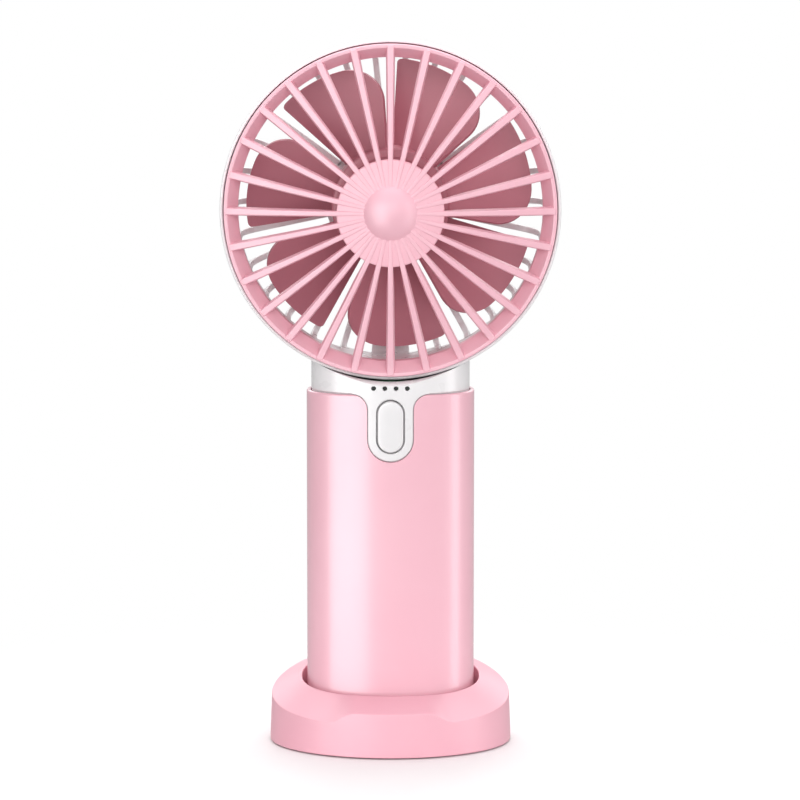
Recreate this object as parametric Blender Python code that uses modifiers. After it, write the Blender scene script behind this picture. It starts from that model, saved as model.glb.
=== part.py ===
"""Handheld fan standing in its desk dock.

The frame is in metres with +Z up. The origin is the middle of the dock's underside, +X is the
right-hand side as the user looks at the front, and the fan blows towards -Y.
Four groups move: the dock, the fan body that lifts out of it, the rotor and the power button.
"""
import math

import bmesh
import bpy
from mathutils import Matrix, Vector

MM = 0.001

# Shared fits
GAP = 0.3 * MM                      # between two pieces that touch
RUNNING_CLEARANCE = 0.3 * MM        # round the shaft
OVAL_POWER = 2.3                    # 2 is an ellipse, more is squarer

OVERCUT = 5.0 * MM                  # how far a cutter passes the face that it opens
OVERLAP = 1.0 * MM                  # how far two solids run into each other before they are joined
HEAD_REACH = -40.0 * MM             # in front of everything on the head
BUTTON_CUT = (-30.0 * MM, -8.0 * MM)    # depths of the cut for the button and the lamps

# Head
HEAD_RISE = 4.05 * MM               # from the sleeve's top to the lowest point of the head
RIM_RADIUS = 50.3 * MM
RIM_WALL = 0.95 * MM
RIM_FRONT = -11.0 * MM               # depths are along Y from the handle's middle plane
CAGE_TAPER_FRONT = -5.5 * MM
CAGE_BACK = 21.0 * MM
CAGE_WALL = 2.0 * MM
DUCT_RADIUS = 45.4 * MM
DUCT_FRONT = -5.2 * MM
SHOULDER_RADIUS = 5.0 * MM
SHOULDER_STEPS = 3
CAGE_STEPS = 60
BAR_COUNT = 30
BAR_WIDTH = 1.8 * MM
SLOT_ROOT_RADIUS = 19.5 * MM
SLOT_FRONT = 4.0 * MM
NECK_SLOT_FRONT = 12.5 * MM         # the slots beside the lowest one start behind the neck
CLIP_RECESS_OFFSET = 6.3 * MM
CLIP_RECESS_SIZE = 1.8 * MM
CLIP_RECESS_DEPTH = 1.2 * MM
CLIP_RECESS_FRONT = -1.5 * MM
LEAD_WAY_HALF = 1.2 * MM            # half width of the motor lead's grooves and hole
LEAD_GROOVE_TOP = 13.0 * MM         # below the motor axis
LEAD_GROOVE_BOTTOM = 42.0 * MM
LEAD_GROOVE_DEPTH = 1.1 * MM
LEAD_TURN_DEPTH = 1.4 * MM
LEAD_TURN_BACK = 15.5 * MM
LEAD_HOLE_FRONT = 8.0 * MM
LEAD_HOLE_BACK = 10.6 * MM

# Front grille
RING_WIDTH = 4.1 * MM
RING_FRONT = -13.7 * MM
RING_LIP = 2.2 * MM                 # flat face before the inner bevel
RING_BEVEL = 3.5 * MM
RING_EDGE = 0.5 * MM
RIB_COUNT = 28
RIB_OUTER_WIDTH = 2.2 * MM
RIB_INNER_WIDTH = 1.5 * MM
RIB_THICKNESS = 2.4 * MM
RIB_PROUD = 0.5 * MM                # rib face in front of the ring and the disc
RIB_STATIONS = 4
RIB_END = 0.4 * MM                  # from the ring's edge
RIB_ROOT = 4.5 * MM                 # from the boss
RIB_DOME = 1.6                      # power of the dome that the ribs follow
DISC_RADIUS = 15.8 * MM
DISC_FRONT = -20.5 * MM
DISC_THICKNESS = 2.0 * MM
DISC_EDGE = 0.5 * MM
DISC_CONE = 0.9 * MM                # the disc rises this much towards its middle
BOSS_RADIUS = 7.9 * MM
BOSS_RISE = 3.9 * MM
BOSS_STEPS = 3

# Impeller
BLADE_COUNT = 7
BLADE_SPAN = 45.0                   # degrees from front edge to back edge
BLADE_PHASE = 3.0                   # back edge of the first blade, clockwise from the top
BLADE_TIP_CLEARANCE = 2.2 * MM
BLADE_FRONT = 1.2 * MM
BLADE_REAR = 15.0 * MM
BLADE_THICKNESS = 1.2 * MM
BLADE_TIP_DROP = 2.0 * MM           # the tip comes in this much before the round corner
BLADE_CORNER = 10.0 * MM
BLADE_CORNER_START = 0.62           # share of the span
BLADE_COLUMNS = 7
BLADE_ROWS = 3
HUB_RADIUS = 17.5 * MM
HUB_FRONT = 0.5 * MM
HUB_WALL = 1.9 * MM
HUB_REAR = 15.6 * MM
HUB_FILLET = 1.2 * MM

# Motor
ROTOR_CUP_WALL = 0.8 * MM
ROTOR_CUP_REAR = 15.2 * MM
MAGNET_WALL = 1.6 * MM
MAGNET_LENGTH = 9.0 * MM
AIR_GAP = 0.5 * MM
SHAFT_RADIUS = 1.0 * MM
BEARING_WALL = 1.6 * MM
BEARING_LENGTH = 3.0 * MM
TUBE_WALL = 0.7 * MM
TUBE_FRONT = 6.0 * MM
TUBE_FLOOR = 18.3 * MM
STATOR_LENGTH = 6.0 * MM
STATOR_MIDDLE = 10.5 * MM
TOOTH_COUNT = 6
TOOTH_WIDTH = 2.6 * MM
TOOTH_TIP_ANGLE = 22.0
TOOTH_TIP_DEPTH = 1.2 * MM
YOKE_WALL = 2.0 * MM
COIL_WALL = 1.1 * MM
MOTOR_BOARD_FRONT = 16.4 * MM
BOARD_THICKNESS = 1.0 * MM
MOTOR_BOARD_RADIUS = 11.5 * MM

# Handle sleeve and inner body
SLEEVE_HALF_WIDTH = 25.0 * MM
SLEEVE_HALF_DEPTH = 15.5 * MM
SLEEVE_WALL = 1.2 * MM
SEAM_HEIGHT = 106.65 * MM
NECK_HALF_WIDTH = 23.6 * MM
FACE_INSET = 0.3 * MM               # neck and tongue stand this much behind the sleeve's face
BODY_WALL = 1.5 * MM
OVAL_STEPS = 40
CAP_HEIGHT = 2.6 * MM
CAP_PLUG = 3.0 * MM
TONGUE_HALF_WIDTH = 6.6 * MM
TONGUE_BOTTOM = 86.9 * MM
TONGUE_FILLET = 4.7 * MM

# Controls
BUTTON_HALF_WIDTH = 3.8 * MM
BUTTON_HALF_HEIGHT = 7.65 * MM
BUTTON_MIDDLE = 97.2 * MM
BUTTON_CLEARANCE = 0.45 * MM
BUTTON_PROUD = 0.6 * MM
BUTTON_FLANGE = 0.8 * MM
BUTTON_FLANGE_MARGIN = 0.8 * MM     # past the opening's edge
BUTTON_BEVEL = 0.6 * MM
BUTTON_TRAVEL = 0.8 * MM
SWITCH_SIZE = 6.0 * MM
SWITCH_DEPTH = 3.3 * MM
PLUNGER_RADIUS = 1.6 * MM
PLUNGER_TAIL = 1.2 * MM              # inside the switch
PLUNGER_WELL_FLOOR = 0.8 * MM
LED_HOLE_RADIUS = 0.71 * MM
LED_PITCH = 3.31 * MM
LED_HEIGHT = 108.65 * MM
LED_COUNT = 4
LED_SIZE = 1.0 * MM
LED_THICKNESS = 0.6 * MM
LIGHT_BAR_THICKNESS = 1.2 * MM
LIGHT_PIN_OVERLAP = 0.5 * MM
LIGHT_PIPE_RADIUS = 0.4 * MM
LIGHT_PIPE_RECESS = 1.0 * MM
CONTROL_BOARD_HALF_WIDTH = 9.0 * MM
CONTROL_BOARD_BOTTOM = 86.0 * MM
CONTROL_BOARD_TOP = 109.8 * MM

# Power
CELL_RADIUS = 9.2 * MM
CELL_LENGTH = 65.0 * MM
TAB_THICKNESS = 0.4 * MM
USB_HALF_WIDTH = 4.5 * MM
USB_HEIGHT = 3.2 * MM
USB_LENGTH = 7.4 * MM
USB_WALL = 0.4 * MM
USB_MOUTH_RECESS = 1.0 * MM          # the contacts' blade stands this much inside the socket
CHARGE_BOARD_BACK = 4.0 * MM         # from the socket's mouth
USB_TONGUE_HALF_WIDTH = 3.3 * MM
USB_TONGUE_THICKNESS = 0.7 * MM
CHARGE_BOARD_HALF_WIDTH = 9.0 * MM
CHARGE_BOARD_FRONT = -3.0 * MM
LEAD_RADIUS = 0.45 * MM

# Fasteners
SCREW_RADIUS = 1.0 * MM
SCREW_HEAD_RADIUS = 1.9 * MM
SCREW_HEAD_HEIGHT = 1.2 * MM
SCREW_STEPS = 12
SCREW_WELL = 8.0 * MM               # how far a hole stays open behind the screw's head
BODY_SCREW_SPREAD = 15.6 * MM
BODY_SCREW_HEIGHTS = (24.0 * MM, 94.0 * MM)
BODY_SCREW_LENGTH = 13.0 * MM
BODY_BOSS_RADIUS = 2.7 * MM
DOCK_SCREW_LENGTH = 5.0 * MM
DOCK_BOSS_RADIUS = 2.1 * MM

# Dock
DOCK_SIDE_MARGIN = 11.2 * MM        # from the sleeve to the dock's edge
DOCK_FRONT_MARGIN = 14.0 * MM
DOCK_DRAFT = 0.5 * MM
DOCK_WALL = 1.8 * MM
DOCK_LIFT = 0.5 * MM                # shell's edge above the desk
DOCK_STEPS = 60
DOCK_EDGE_HEIGHT = 14.6 * MM
DOCK_EDGE_SLOPE = 0.24
DOCK_EDGE_BOW = 2.7                 # per metre
DOCK_RIM_HEIGHT = 20.1 * MM
DOCK_RIM_SLOPE = 0.2
LIP_HEIGHT = 13.5 * MM
LIP_FLAT_HALF = 11.0 * MM
LIP_FOOT_HALF = 19.2 * MM
POCKET_CLEARANCE = 1.5 * MM
POCKET_FLOOR = 5.0 * MM
PLATE_BOTTOM = 0.9 * MM
PLATE_THICKNESS = 1.8 * MM
PAD_THICKNESS = 0.6 * MM
PAD_INSET = 9.5 * MM
DOCK_BOSS_ANGLES = (0.0, 180.0, 243.0, 297.0)
DOCK_BOSS_SHARE = 0.47              # place of a boss between the outer edge and the rim

# Sizes that follow
HEAD_HEIGHT = SEAM_HEIGHT + HEAD_RISE + RIM_RADIUS      # motor axis above the desk
DOCK_HALF_WIDTH = SLEEVE_HALF_WIDTH + DOCK_SIDE_MARGIN
DOCK_HALF_DEPTH = SLEEVE_HALF_DEPTH + DOCK_FRONT_MARGIN
DUCT_BACK = CAGE_BACK - CAGE_WALL
RING_RADIUS = RIM_RADIUS - RIM_WALL - GAP
RING_BACK = DUCT_FRONT - GAP
RING_INNER_RADIUS = RING_RADIUS - RING_WIDTH
BLADE_TIP_RADIUS = DUCT_RADIUS - BLADE_TIP_CLEARANCE
ROTOR_CUP_RADIUS = HUB_RADIUS - HUB_WALL - GAP
ROTOR_CUP_FRONT = HUB_FRONT + HUB_WALL + GAP
MAGNET_RADIUS = ROTOR_CUP_RADIUS - ROTOR_CUP_WALL - GAP
STATOR_RADIUS = MAGNET_RADIUS - MAGNET_WALL - AIR_GAP
BEARING_BORE = SHAFT_RADIUS + RUNNING_CLEARANCE
BEARING_RADIUS = BEARING_BORE + BEARING_WALL
TUBE_BORE = BEARING_RADIUS + GAP
TUBE_RADIUS = TUBE_BORE + TUBE_WALL
YOKE_RADIUS = TUBE_RADIUS + GAP + YOKE_WALL
HANDLE_BOTTOM = POCKET_FLOOR + GAP
SLEEVE_BOTTOM = HANDLE_BOTTOM + CAP_HEIGHT + GAP
BODY_HALF_WIDTH = SLEEVE_HALF_WIDTH - SLEEVE_WALL - GAP
BODY_HALF_DEPTH = SLEEVE_HALF_DEPTH - SLEEVE_WALL - GAP
NECK_HALF_DEPTH = SLEEVE_HALF_DEPTH - FACE_INSET
NECK_BOTTOM = SEAM_HEIGHT + GAP
CAVITY_HALF_WIDTH = BODY_HALF_WIDTH - BODY_WALL
CAVITY_HALF_DEPTH = BODY_HALF_DEPTH - BODY_WALL
CELL_BOTTOM = SLEEVE_BOTTOM + CAP_PLUG + GAP + TAB_THICKNESS + GAP
CELL_TOP = CELL_BOTTOM + CELL_LENGTH
CHARGE_BOARD_BOTTOM = CELL_TOP + TAB_THICKNESS + 4 * GAP
USB_BOTTOM = CHARGE_BOARD_BOTTOM + BOARD_THICKNESS + GAP
USB_MIDDLE = USB_BOTTOM + USB_HEIGHT / 2
USB_BACK = SLEEVE_HALF_DEPTH - SLEEVE_WALL
BUTTON_FRONT = -NECK_HALF_DEPTH - BUTTON_PROUD
FLANGE_FRONT = -CAVITY_HALF_DEPTH + GAP
FLANGE_BACK = FLANGE_FRONT + BUTTON_FLANGE
SWITCH_FRONT = FLANGE_BACK + BUTTON_TRAVEL + 2 * GAP
CONTROL_BOARD_FRONT = SWITCH_FRONT + SWITCH_DEPTH + GAP

PARTS = None
CUTTERS = None


def clear_scene():
    """Removes what the new file starts with and makes the two collections."""
    global PARTS, CUTTERS
    for item in list(bpy.data.objects):
        bpy.data.objects.remove(item, do_unlink=True)
    PARTS = bpy.data.collections.new("handheld_fan")
    CUTTERS = bpy.data.collections.new("cutters")
    bpy.context.scene.collection.children.link(PARTS)
    bpy.context.scene.collection.children.link(CUTTERS)


def make_material(name, colour, roughness, metallic=0.0):
    """A Principled material from a linear colour."""
    material = bpy.data.materials.new(name)
    material.use_nodes = True
    shader = material.node_tree.nodes["Principled BSDF"]
    shader.inputs["Base Color"].default_value = (*colour, 1.0)
    shader.inputs["Roughness"].default_value = roughness
    shader.inputs["Metallic"].default_value = metallic
    return material


# Colours: linear red, green and blue
PINK = (0.93, 0.55, 0.64)
ROSE = (0.42, 0.16, 0.20)
WHITE = (0.88, 0.87, 0.87)
STEEL = (0.55, 0.55, 0.57)
DARK = (0.05, 0.05, 0.06)
COPPER = (0.72, 0.32, 0.15)
GREEN = (0.03, 0.20, 0.09)
BLUE = (0.05, 0.16, 0.45)
CLEAR = (0.75, 0.78, 0.80)


def finish_part(part, colour, roughness=0.35, metallic=0.0, smooth=True):
    """Puts a part in the model with its own material."""
    CUTTERS.objects.unlink(part)
    PARTS.objects.link(part)
    part.hide_render = False
    part.display_type = "TEXTURED"
    part.data.materials.clear()
    part.data.materials.append(make_material(part.name, colour, roughness, metallic))
    if smooth:
        part.data.shade_smooth()
        part.data.set_sharp_from_angle(angle=math.radians(30))
    return part


def add_mesh(name, mesh):
    """A new object for a mesh, kept with the cutters until finish_part takes it."""
    item = bpy.data.objects.new(name, mesh)
    CUTTERS.objects.link(item)
    item.hide_render = True
    item.display_type = "WIRE"
    return item


def mesh_from(name, geometry):
    """An object from a bmesh, its faces turned outwards."""
    bmesh.ops.recalc_face_normals(geometry, faces=geometry.faces)
    mesh = bpy.data.meshes.new(name)
    geometry.to_mesh(mesh)
    geometry.free()
    return add_mesh(name, mesh)


def combine(target, tool, operation):
    """Adds a Boolean of target with tool."""
    modifier = target.modifiers.new(f"{operation.lower()}_{tool.name}", "BOOLEAN")
    modifier.operation = operation
    modifier.object = tool
    return target


def cut(target, *tools):
    for tool in tools:
        combine(target, tool, "DIFFERENCE")
    return target


def join(target, *tools):
    for tool in tools:
        combine(target, tool, "UNION")
    return target


def oval(half_width, half_depth, steps=OVAL_STEPS, power=OVAL_POWER):
    """Points round a superellipse, from +X anticlockwise seen from above."""
    points = []
    for step in range(steps):
        angle = 2 * math.pi * step / steps
        across = math.copysign(abs(math.cos(angle)) ** (2 / power), math.cos(angle))
        along = math.copysign(abs(math.sin(angle)) ** (2 / power), math.sin(angle))
        points.append((half_width * across, half_depth * along))
    return points


def half_oval(half_width, half_depth, side):
    """The front (side -1) or back (side 1) half of an oval, flat half a gap from the middle."""
    points = []
    for x, y in oval(half_width, half_depth):
        if y * side > -GAP:
            points.append((x, side * max(y * side, GAP / 2)))
    return points


def arc(middle_x, middle_y, radius, start, end, steps):
    """Points on an arc, angles in degrees, both ends included."""
    points = []
    for step in range(steps + 1):
        angle = math.radians(start + (end - start) * step / steps)
        points.append((middle_x + radius * math.cos(angle), middle_y + radius * math.sin(angle)))
    return points


def prism(name, outline, start, end, axis="Z"):
    """A flat outline extruded along Z, or along Y for an outline in X and Z."""
    geometry = bmesh.new()
    corners = []
    for a, b in outline:
        corners.append(geometry.verts.new((a, b, start) if axis == "Z" else (a, start, b)))
    face = geometry.faces.new(corners)
    swept = bmesh.ops.extrude_face_region(geometry, geom=[face])
    shift = Vector((0, 0, end - start)) if axis == "Z" else Vector((0, end - start, 0))
    moved = [item for item in swept["geom"] if isinstance(item, bmesh.types.BMVert)]
    bmesh.ops.translate(geometry, verts=moved, vec=shift)
    return mesh_from(name, geometry)


def box(name, low, high):
    """A box between two corners."""
    geometry = bmesh.new()
    size = [high[i] - low[i] for i in range(3)]
    middle = [(high[i] + low[i]) / 2 for i in range(3)]
    matrix = Matrix.Translation(middle) @ Matrix.Diagonal((*size, 1))
    bmesh.ops.create_cube(geometry, size=1.0, matrix=matrix)
    return mesh_from(name, geometry)


def turned(name, profile, steps, closed=False):
    """A profile of (radius, height) points turned about Z."""
    mesh = bpy.data.meshes.new(name)
    count = len(profile)
    edges = [(i, i + 1) for i in range(count - 1)]
    if closed:
        edges.append((count - 1, 0))
    mesh.from_pydata([(radius, 0, height) for radius, height in profile], edges, [])
    item = add_mesh(name, mesh)
    screw = item.modifiers.new("turn", "SCREW")
    screw.steps = steps
    screw.render_steps = steps
    screw.use_merge_vertices = True
    screw.merge_threshold = 0.00001
    screw.use_smooth_shade = True
    return item


def to_head(item):
    """Lays a turned shape on the motor axis: its Z becomes the depth Y."""
    item.rotation_euler = (-math.pi / 2, 0, 0)
    item.location = (0, 0, HEAD_HEIGHT)
    return item


def head_point(angle, radius, depth):
    """A point in the head's own frame, the angle in degrees clockwise from the top."""
    turn = math.radians(angle)
    return Vector((radius * math.sin(turn), -radius * math.cos(turn), depth))


def loft_rings(geometry, rings):
    """Quads between rings of equal length."""
    rows = [[geometry.verts.new(point) for point in ring] for ring in rings]
    count = len(rows[0])
    for lower, upper in zip(rows, rows[1:]):
        for i in range(count):
            geometry.faces.new((lower[i], lower[(i + 1) % count], upper[(i + 1) % count], upper[i]))
    return rows


def add_wedge(geometry, angle, reaches, depths, widths):
    """A closed block on a spoke of the head, from its near to its far end and from front to back."""
    front, back = depths
    along = head_point(angle, 1.0, 0)
    across = head_point(angle + 90, 1.0, 0)
    rings = []
    for reach, width in zip(reaches, widths):
        ring = []
        for side, depth in ((-1, front), (1, front), (1, back), (-1, back)):
            ring.append(along * reach + across * side * width / 2 + Vector((0, 0, depth)))
        rings.append(ring)
    rows = loft_rings(geometry, rings)
    geometry.faces.new(rows[0])
    geometry.faces.new(rows[-1])


# ---------------------------------------------------------------- head

def cage_profile():
    """Outline of the rear cage with its bearing tube, from the axis over the back to the axis."""
    bend = SHOULDER_RADIUS + CAGE_WALL
    middle = DUCT_RADIUS - SHOULDER_RADIUS
    middle_depth = DUCT_BACK - SHOULDER_RADIUS
    points = [(0, CAGE_BACK)]
    points += arc(middle, middle_depth, bend, 90, 0, SHOULDER_STEPS)
    points += [
        (RIM_RADIUS, CAGE_TAPER_FRONT),
        (RIM_RADIUS, RIM_FRONT),
        (RIM_RADIUS - RIM_WALL, RIM_FRONT),
        (RIM_RADIUS - RIM_WALL, DUCT_FRONT),
        (DUCT_RADIUS, DUCT_FRONT),
    ]
    points += arc(middle, middle_depth, SHOULDER_RADIUS, 0, 90, SHOULDER_STEPS)
    points += [
        (TUBE_RADIUS, DUCT_BACK),
        (TUBE_RADIUS, TUBE_FRONT),
        (TUBE_BORE, TUBE_FRONT),
        (TUBE_BORE, TUBE_FLOOR),
        (0, TUBE_FLOOR),
    ]
    return points


def duct_plug(name, grow, reach):
    """The space inside the cage as a solid, grown into its wall."""
    radius = SHOULDER_RADIUS + grow
    middle = DUCT_RADIUS - SHOULDER_RADIUS
    middle_depth = DUCT_BACK - SHOULDER_RADIUS
    profile = [(0, DUCT_BACK + grow)]
    profile += arc(middle, middle_depth, radius, 90, 0, SHOULDER_STEPS)
    profile += [(DUCT_RADIUS + grow, reach), (0, reach)]
    return to_head(turned(name, profile, CAGE_STEPS))


def slot_cutter():
    """One wedge for each open slot between two bars."""
    geometry = bmesh.new()
    pitch = 360 / BAR_COUNT
    outer = RIM_RADIUS + OVERCUT
    half = math.radians(pitch / 2)
    lowest = BAR_COUNT // 2
    for index in range(BAR_COUNT):
        from_lowest = abs(index - lowest)
        if from_lowest == 0:
            continue
        front = NECK_SLOT_FRONT if from_lowest == 1 else SLOT_FRONT
        thin = 2 * (SLOT_ROOT_RADIUS * math.tan(half) - BAR_WIDTH / 2 / math.cos(half))
        wide = 2 * (outer * math.tan(half) - BAR_WIDTH / 2 / math.cos(half))
        depths = (front, CAGE_BACK + OVERCUT)
        add_wedge(geometry, index * pitch, (SLOT_ROOT_RADIUS, outer), depths, (thin, wide))
    return to_head(mesh_from("slot_cutter", geometry))


def half_body(name, side, bottom, top):
    """A solid half of the inner body below the seam."""
    return prism(name, half_oval(BODY_HALF_WIDTH, BODY_HALF_DEPTH, side), bottom, top)


def body_cavity(name):
    """The hollow that runs through both halves of the inner body, less the screw bosses."""
    section = oval(CAVITY_HALF_WIDTH, CAVITY_HALF_DEPTH)
    cavity = prism(name, section, SLEEVE_BOTTOM - CAP_PLUG, HEAD_HEIGHT)
    reach = SLEEVE_HALF_DEPTH
    for screw, x, z in body_screw_places():
        outline = arc(x, z, BODY_BOSS_RADIUS, 0, 360 - 360 / SCREW_STEPS, SCREW_STEPS - 1)
        cut(cavity, prism(f"{name}_{screw}", outline, -reach, reach, "Y"))
    return cavity


def screw_profile(length, grow=0.0, well=0.0):
    """Profile of a pan-head screw, or of its hole with a well that the driver goes down."""
    return [
        (0, grow + well),
        (SCREW_HEAD_RADIUS + grow, grow + well),
        (SCREW_HEAD_RADIUS + grow, -SCREW_HEAD_HEIGHT),
        (SCREW_RADIUS + grow, -SCREW_HEAD_HEIGHT),
        (SCREW_RADIUS + grow, -length - grow),
        (0, -length - grow),
    ]


def body_screw_places():
    """Each screw's name, x and z."""
    places = []
    for row, height in zip(("lower", "upper"), BODY_SCREW_HEIGHTS):
        places.append((f"body_screw_{row}_left", -BODY_SCREW_SPREAD, height))
        places.append((f"body_screw_{row}_right", BODY_SCREW_SPREAD, height))
    return places


def body_screw_head_depth():
    """Depth of the screw heads' outer face, sunk in the back half."""
    share = (BODY_SCREW_SPREAD / BODY_HALF_WIDTH) ** OVAL_POWER
    return BODY_HALF_DEPTH * (1 - share) ** (1 / OVAL_POWER) - 2.2 * MM


def body_screw(name, x, z, grow=0.0, well=0.0):
    """A screw driven forward from the back, or its clearance hole."""
    item = turned(name, screw_profile(BODY_SCREW_LENGTH, grow, well), SCREW_STEPS)
    item.rotation_euler = (-math.pi / 2, 0, 0)
    item.location = (x, body_screw_head_depth(), z)
    return item


def lead_channel():
    """Grooves and the hole that take the motor lead down into the neck."""
    half = LEAD_WAY_HALF
    duct_bottom = HEAD_HEIGHT - DUCT_RADIUS
    back = box("lead_groove_back", (-half, DUCT_BACK - OVERLAP, HEAD_HEIGHT - LEAD_GROOVE_BOTTOM),
               (half, DUCT_BACK + LEAD_GROOVE_DEPTH, HEAD_HEIGHT - LEAD_GROOVE_TOP))
    side = box("lead_groove_turn", (-half, LEAD_HOLE_FRONT, duct_bottom - LEAD_TURN_DEPTH),
               (half, LEAD_TURN_BACK, duct_bottom + 2 * OVERLAP))
    through = box("lead_hole", (-half, LEAD_HOLE_FRONT, HEAD_HEIGHT - RIM_RADIUS - 3 * OVERLAP),
                  (half, LEAD_HOLE_BACK, duct_bottom + 2 * OVERLAP))
    return back, side, through


def clip_recesses():
    """The two small square pockets that the grille's hooks snap into."""
    pockets = []
    for side in (-1, 1):
        x = side * CLIP_RECESS_OFFSET
        half = CLIP_RECESS_SIZE / 2
        low = HEAD_HEIGHT - DUCT_RADIUS - CLIP_RECESS_DEPTH
        pockets.append(box(f"clip_recess_{side}", (x - half, CLIP_RECESS_FRONT, low),
                           (x + half, CLIP_RECESS_FRONT + CLIP_RECESS_SIZE, low + OVERCUT)))
    return pockets


def usb_opening(name, grow):
    """Rounded opening for the charging plug, through both skins at the back."""
    half_width = USB_HALF_WIDTH + grow
    radius = USB_HEIGHT / 2 + grow
    outline = arc(half_width - radius, USB_MIDDLE, radius, -90, 90, 6)
    outline += arc(radius - half_width, USB_MIDDLE, radius, 90, 270, 6)
    return prism(name, outline, CAVITY_HALF_DEPTH - 2 * OVERLAP, SLEEVE_HALF_DEPTH + OVERCUT, "Y")


def build_rear_housing():
    """White rear cage, back of the neck and back half of the inner body in one moulding."""
    housing = half_body("rear_housing", 1, SLEEVE_BOTTOM, SEAM_HEIGHT + OVERLAP)
    neck = prism("rear_neck", half_oval(NECK_HALF_WIDTH, NECK_HALF_DEPTH, 1), NECK_BOTTOM,
                 HEAD_HEIGHT - RIM_RADIUS / 2)
    join(housing, neck)
    cut(housing, body_cavity("rear_cavity"))
    cut(housing, duct_plug("rear_duct_plug", CAGE_WALL / 4, HEAD_REACH))
    cage = to_head(turned("slotted_cage", cage_profile(), CAGE_STEPS))
    cut(cage, slot_cutter())
    join(housing, cage)
    cut(housing, *lead_channel(), *clip_recesses())
    cut(housing, usb_opening("rear_usb_opening", GAP))
    for name, x, z in body_screw_places():
        cut(housing, body_screw(f"rear_hole_{name}", x, z, GAP, SCREW_WELL))
    return finish_part(housing, WHITE, 0.3)


def tongue_outline(half_width, fillet, top, bottom_middle):
    """U shape in X and Z whose top flares into the neck with concave fillets."""
    corner = half_width + fillet
    corner_height = top - fillet
    rise = top + 0.5 * MM
    points = [(corner, rise)]
    points += arc(corner, corner_height, fillet, 90, 180, 6)
    points += arc(0, bottom_middle, half_width, 0, -180, 16)
    points += arc(-corner, corner_height, fillet, 0, 90, 6)
    points += [(-corner, rise)]
    return points


def pill(half_width, half_height, middle):
    """Upright pill outline in X and Z."""
    straight = half_height - half_width
    points = arc(0, middle + straight, half_width, 0, 180, 10)
    points += arc(0, middle - straight, half_width, 180, 360, 10)
    return points


def led_places():
    return [(i - (LED_COUNT - 1) / 2) * LED_PITCH for i in range(LED_COUNT)]


def head_saddle():
    """The curved top of the front half, clear of the cage's rim."""
    radius = RIM_RADIUS + GAP
    profile = [(0, OVERCUT), (radius, OVERCUT), (radius, HEAD_REACH), (0, HEAD_REACH)]
    return to_head(turned("head_saddle", profile, CAGE_STEPS))


def build_front_housing():
    """White front half: neck face, control tongue, and the half shell inside the sleeve."""
    housing = half_body("front_housing", -1, SLEEVE_BOTTOM, SEAM_HEIGHT + OVERLAP)
    neck = prism("front_neck", half_oval(NECK_HALF_WIDTH, NECK_HALF_DEPTH, -1), NECK_BOTTOM,
                 HEAD_HEIGHT - RIM_RADIUS / 2)
    bottom_middle = TONGUE_BOTTOM + TONGUE_HALF_WIDTH
    outline = tongue_outline(TONGUE_HALF_WIDTH, TONGUE_FILLET, NECK_BOTTOM, bottom_middle)
    tongue = prism("tongue", outline, -SLEEVE_HALF_DEPTH - OVERCUT, -GAP / 2 - 2 * OVERLAP, "Y")
    face = oval(SLEEVE_HALF_WIDTH - FACE_INSET, NECK_HALF_DEPTH)
    tongue_face = prism("tongue_face", face, TONGUE_BOTTOM - OVERCUT, NECK_BOTTOM + 0.4 * OVERLAP)
    combine(tongue, tongue_face, "INTERSECT")
    join(housing, neck, tongue)
    cut(housing, body_cavity("front_cavity"))
    half_width = BUTTON_HALF_WIDTH + BUTTON_CLEARANCE
    opening = pill(half_width, BUTTON_HALF_HEIGHT + BUTTON_CLEARANCE, BUTTON_MIDDLE)
    cut(housing, prism("button_opening", opening, *BUTTON_CUT, "Y"))
    for index, x in enumerate(led_places()):
        hole = arc(x, LED_HEIGHT, LED_HOLE_RADIUS, 0, 330, 11)
        cut(housing, prism(f"led_hole_{index}", hole, *BUTTON_CUT, "Y"))
    cut(housing, head_saddle())
    for name, x, z in body_screw_places():
        cut(housing, body_screw(f"front_hole_{name}", x, z, GAP))
    return finish_part(housing, WHITE, 0.3)


def ring_profile():
    """Section of the grille's ring."""
    return [
        (RING_RADIUS, RING_BACK),
        (RING_RADIUS, RING_FRONT + RING_EDGE),
        (RING_RADIUS - RING_EDGE, RING_FRONT),
        (RING_RADIUS - RING_LIP, RING_FRONT),
        (RING_INNER_RADIUS, RING_FRONT + RING_BEVEL),
        (RING_INNER_RADIUS, RING_BACK),
    ]


def disc_profile():
    """Section of the grille's middle disc with its round boss."""
    front = DISC_FRONT
    cone_top = front - DISC_CONE
    radius = (BOSS_RADIUS ** 2 + BOSS_RISE ** 2) / (2 * BOSS_RISE)
    middle = cone_top + radius - BOSS_RISE
    rim = math.degrees(math.asin(BOSS_RADIUS / radius))
    points = [
        (0, front + DISC_THICKNESS),
        (DISC_RADIUS - DISC_EDGE, front + DISC_THICKNESS),
        (DISC_RADIUS, front + DISC_THICKNESS - DISC_EDGE),
        (DISC_RADIUS, front + DISC_EDGE),
        (DISC_RADIUS - DISC_EDGE, front),
    ]
    points += arc(0, middle, radius, -90 + rim, -90, BOSS_STEPS)
    points[-1] = (0, cone_top - BOSS_RISE)
    return points


def rib_face_depth(radius):
    """Depth of a rib's front face: a shallow dome from the disc out to the ring."""
    start = DISC_RADIUS - OVERLAP
    end = RING_RADIUS - RING_LIP
    share = min(max((radius - start) / (end - start), 0.0), 1.0)
    return DISC_FRONT + (RING_FRONT - DISC_FRONT) * share ** RIB_DOME - RIB_PROUD


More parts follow.
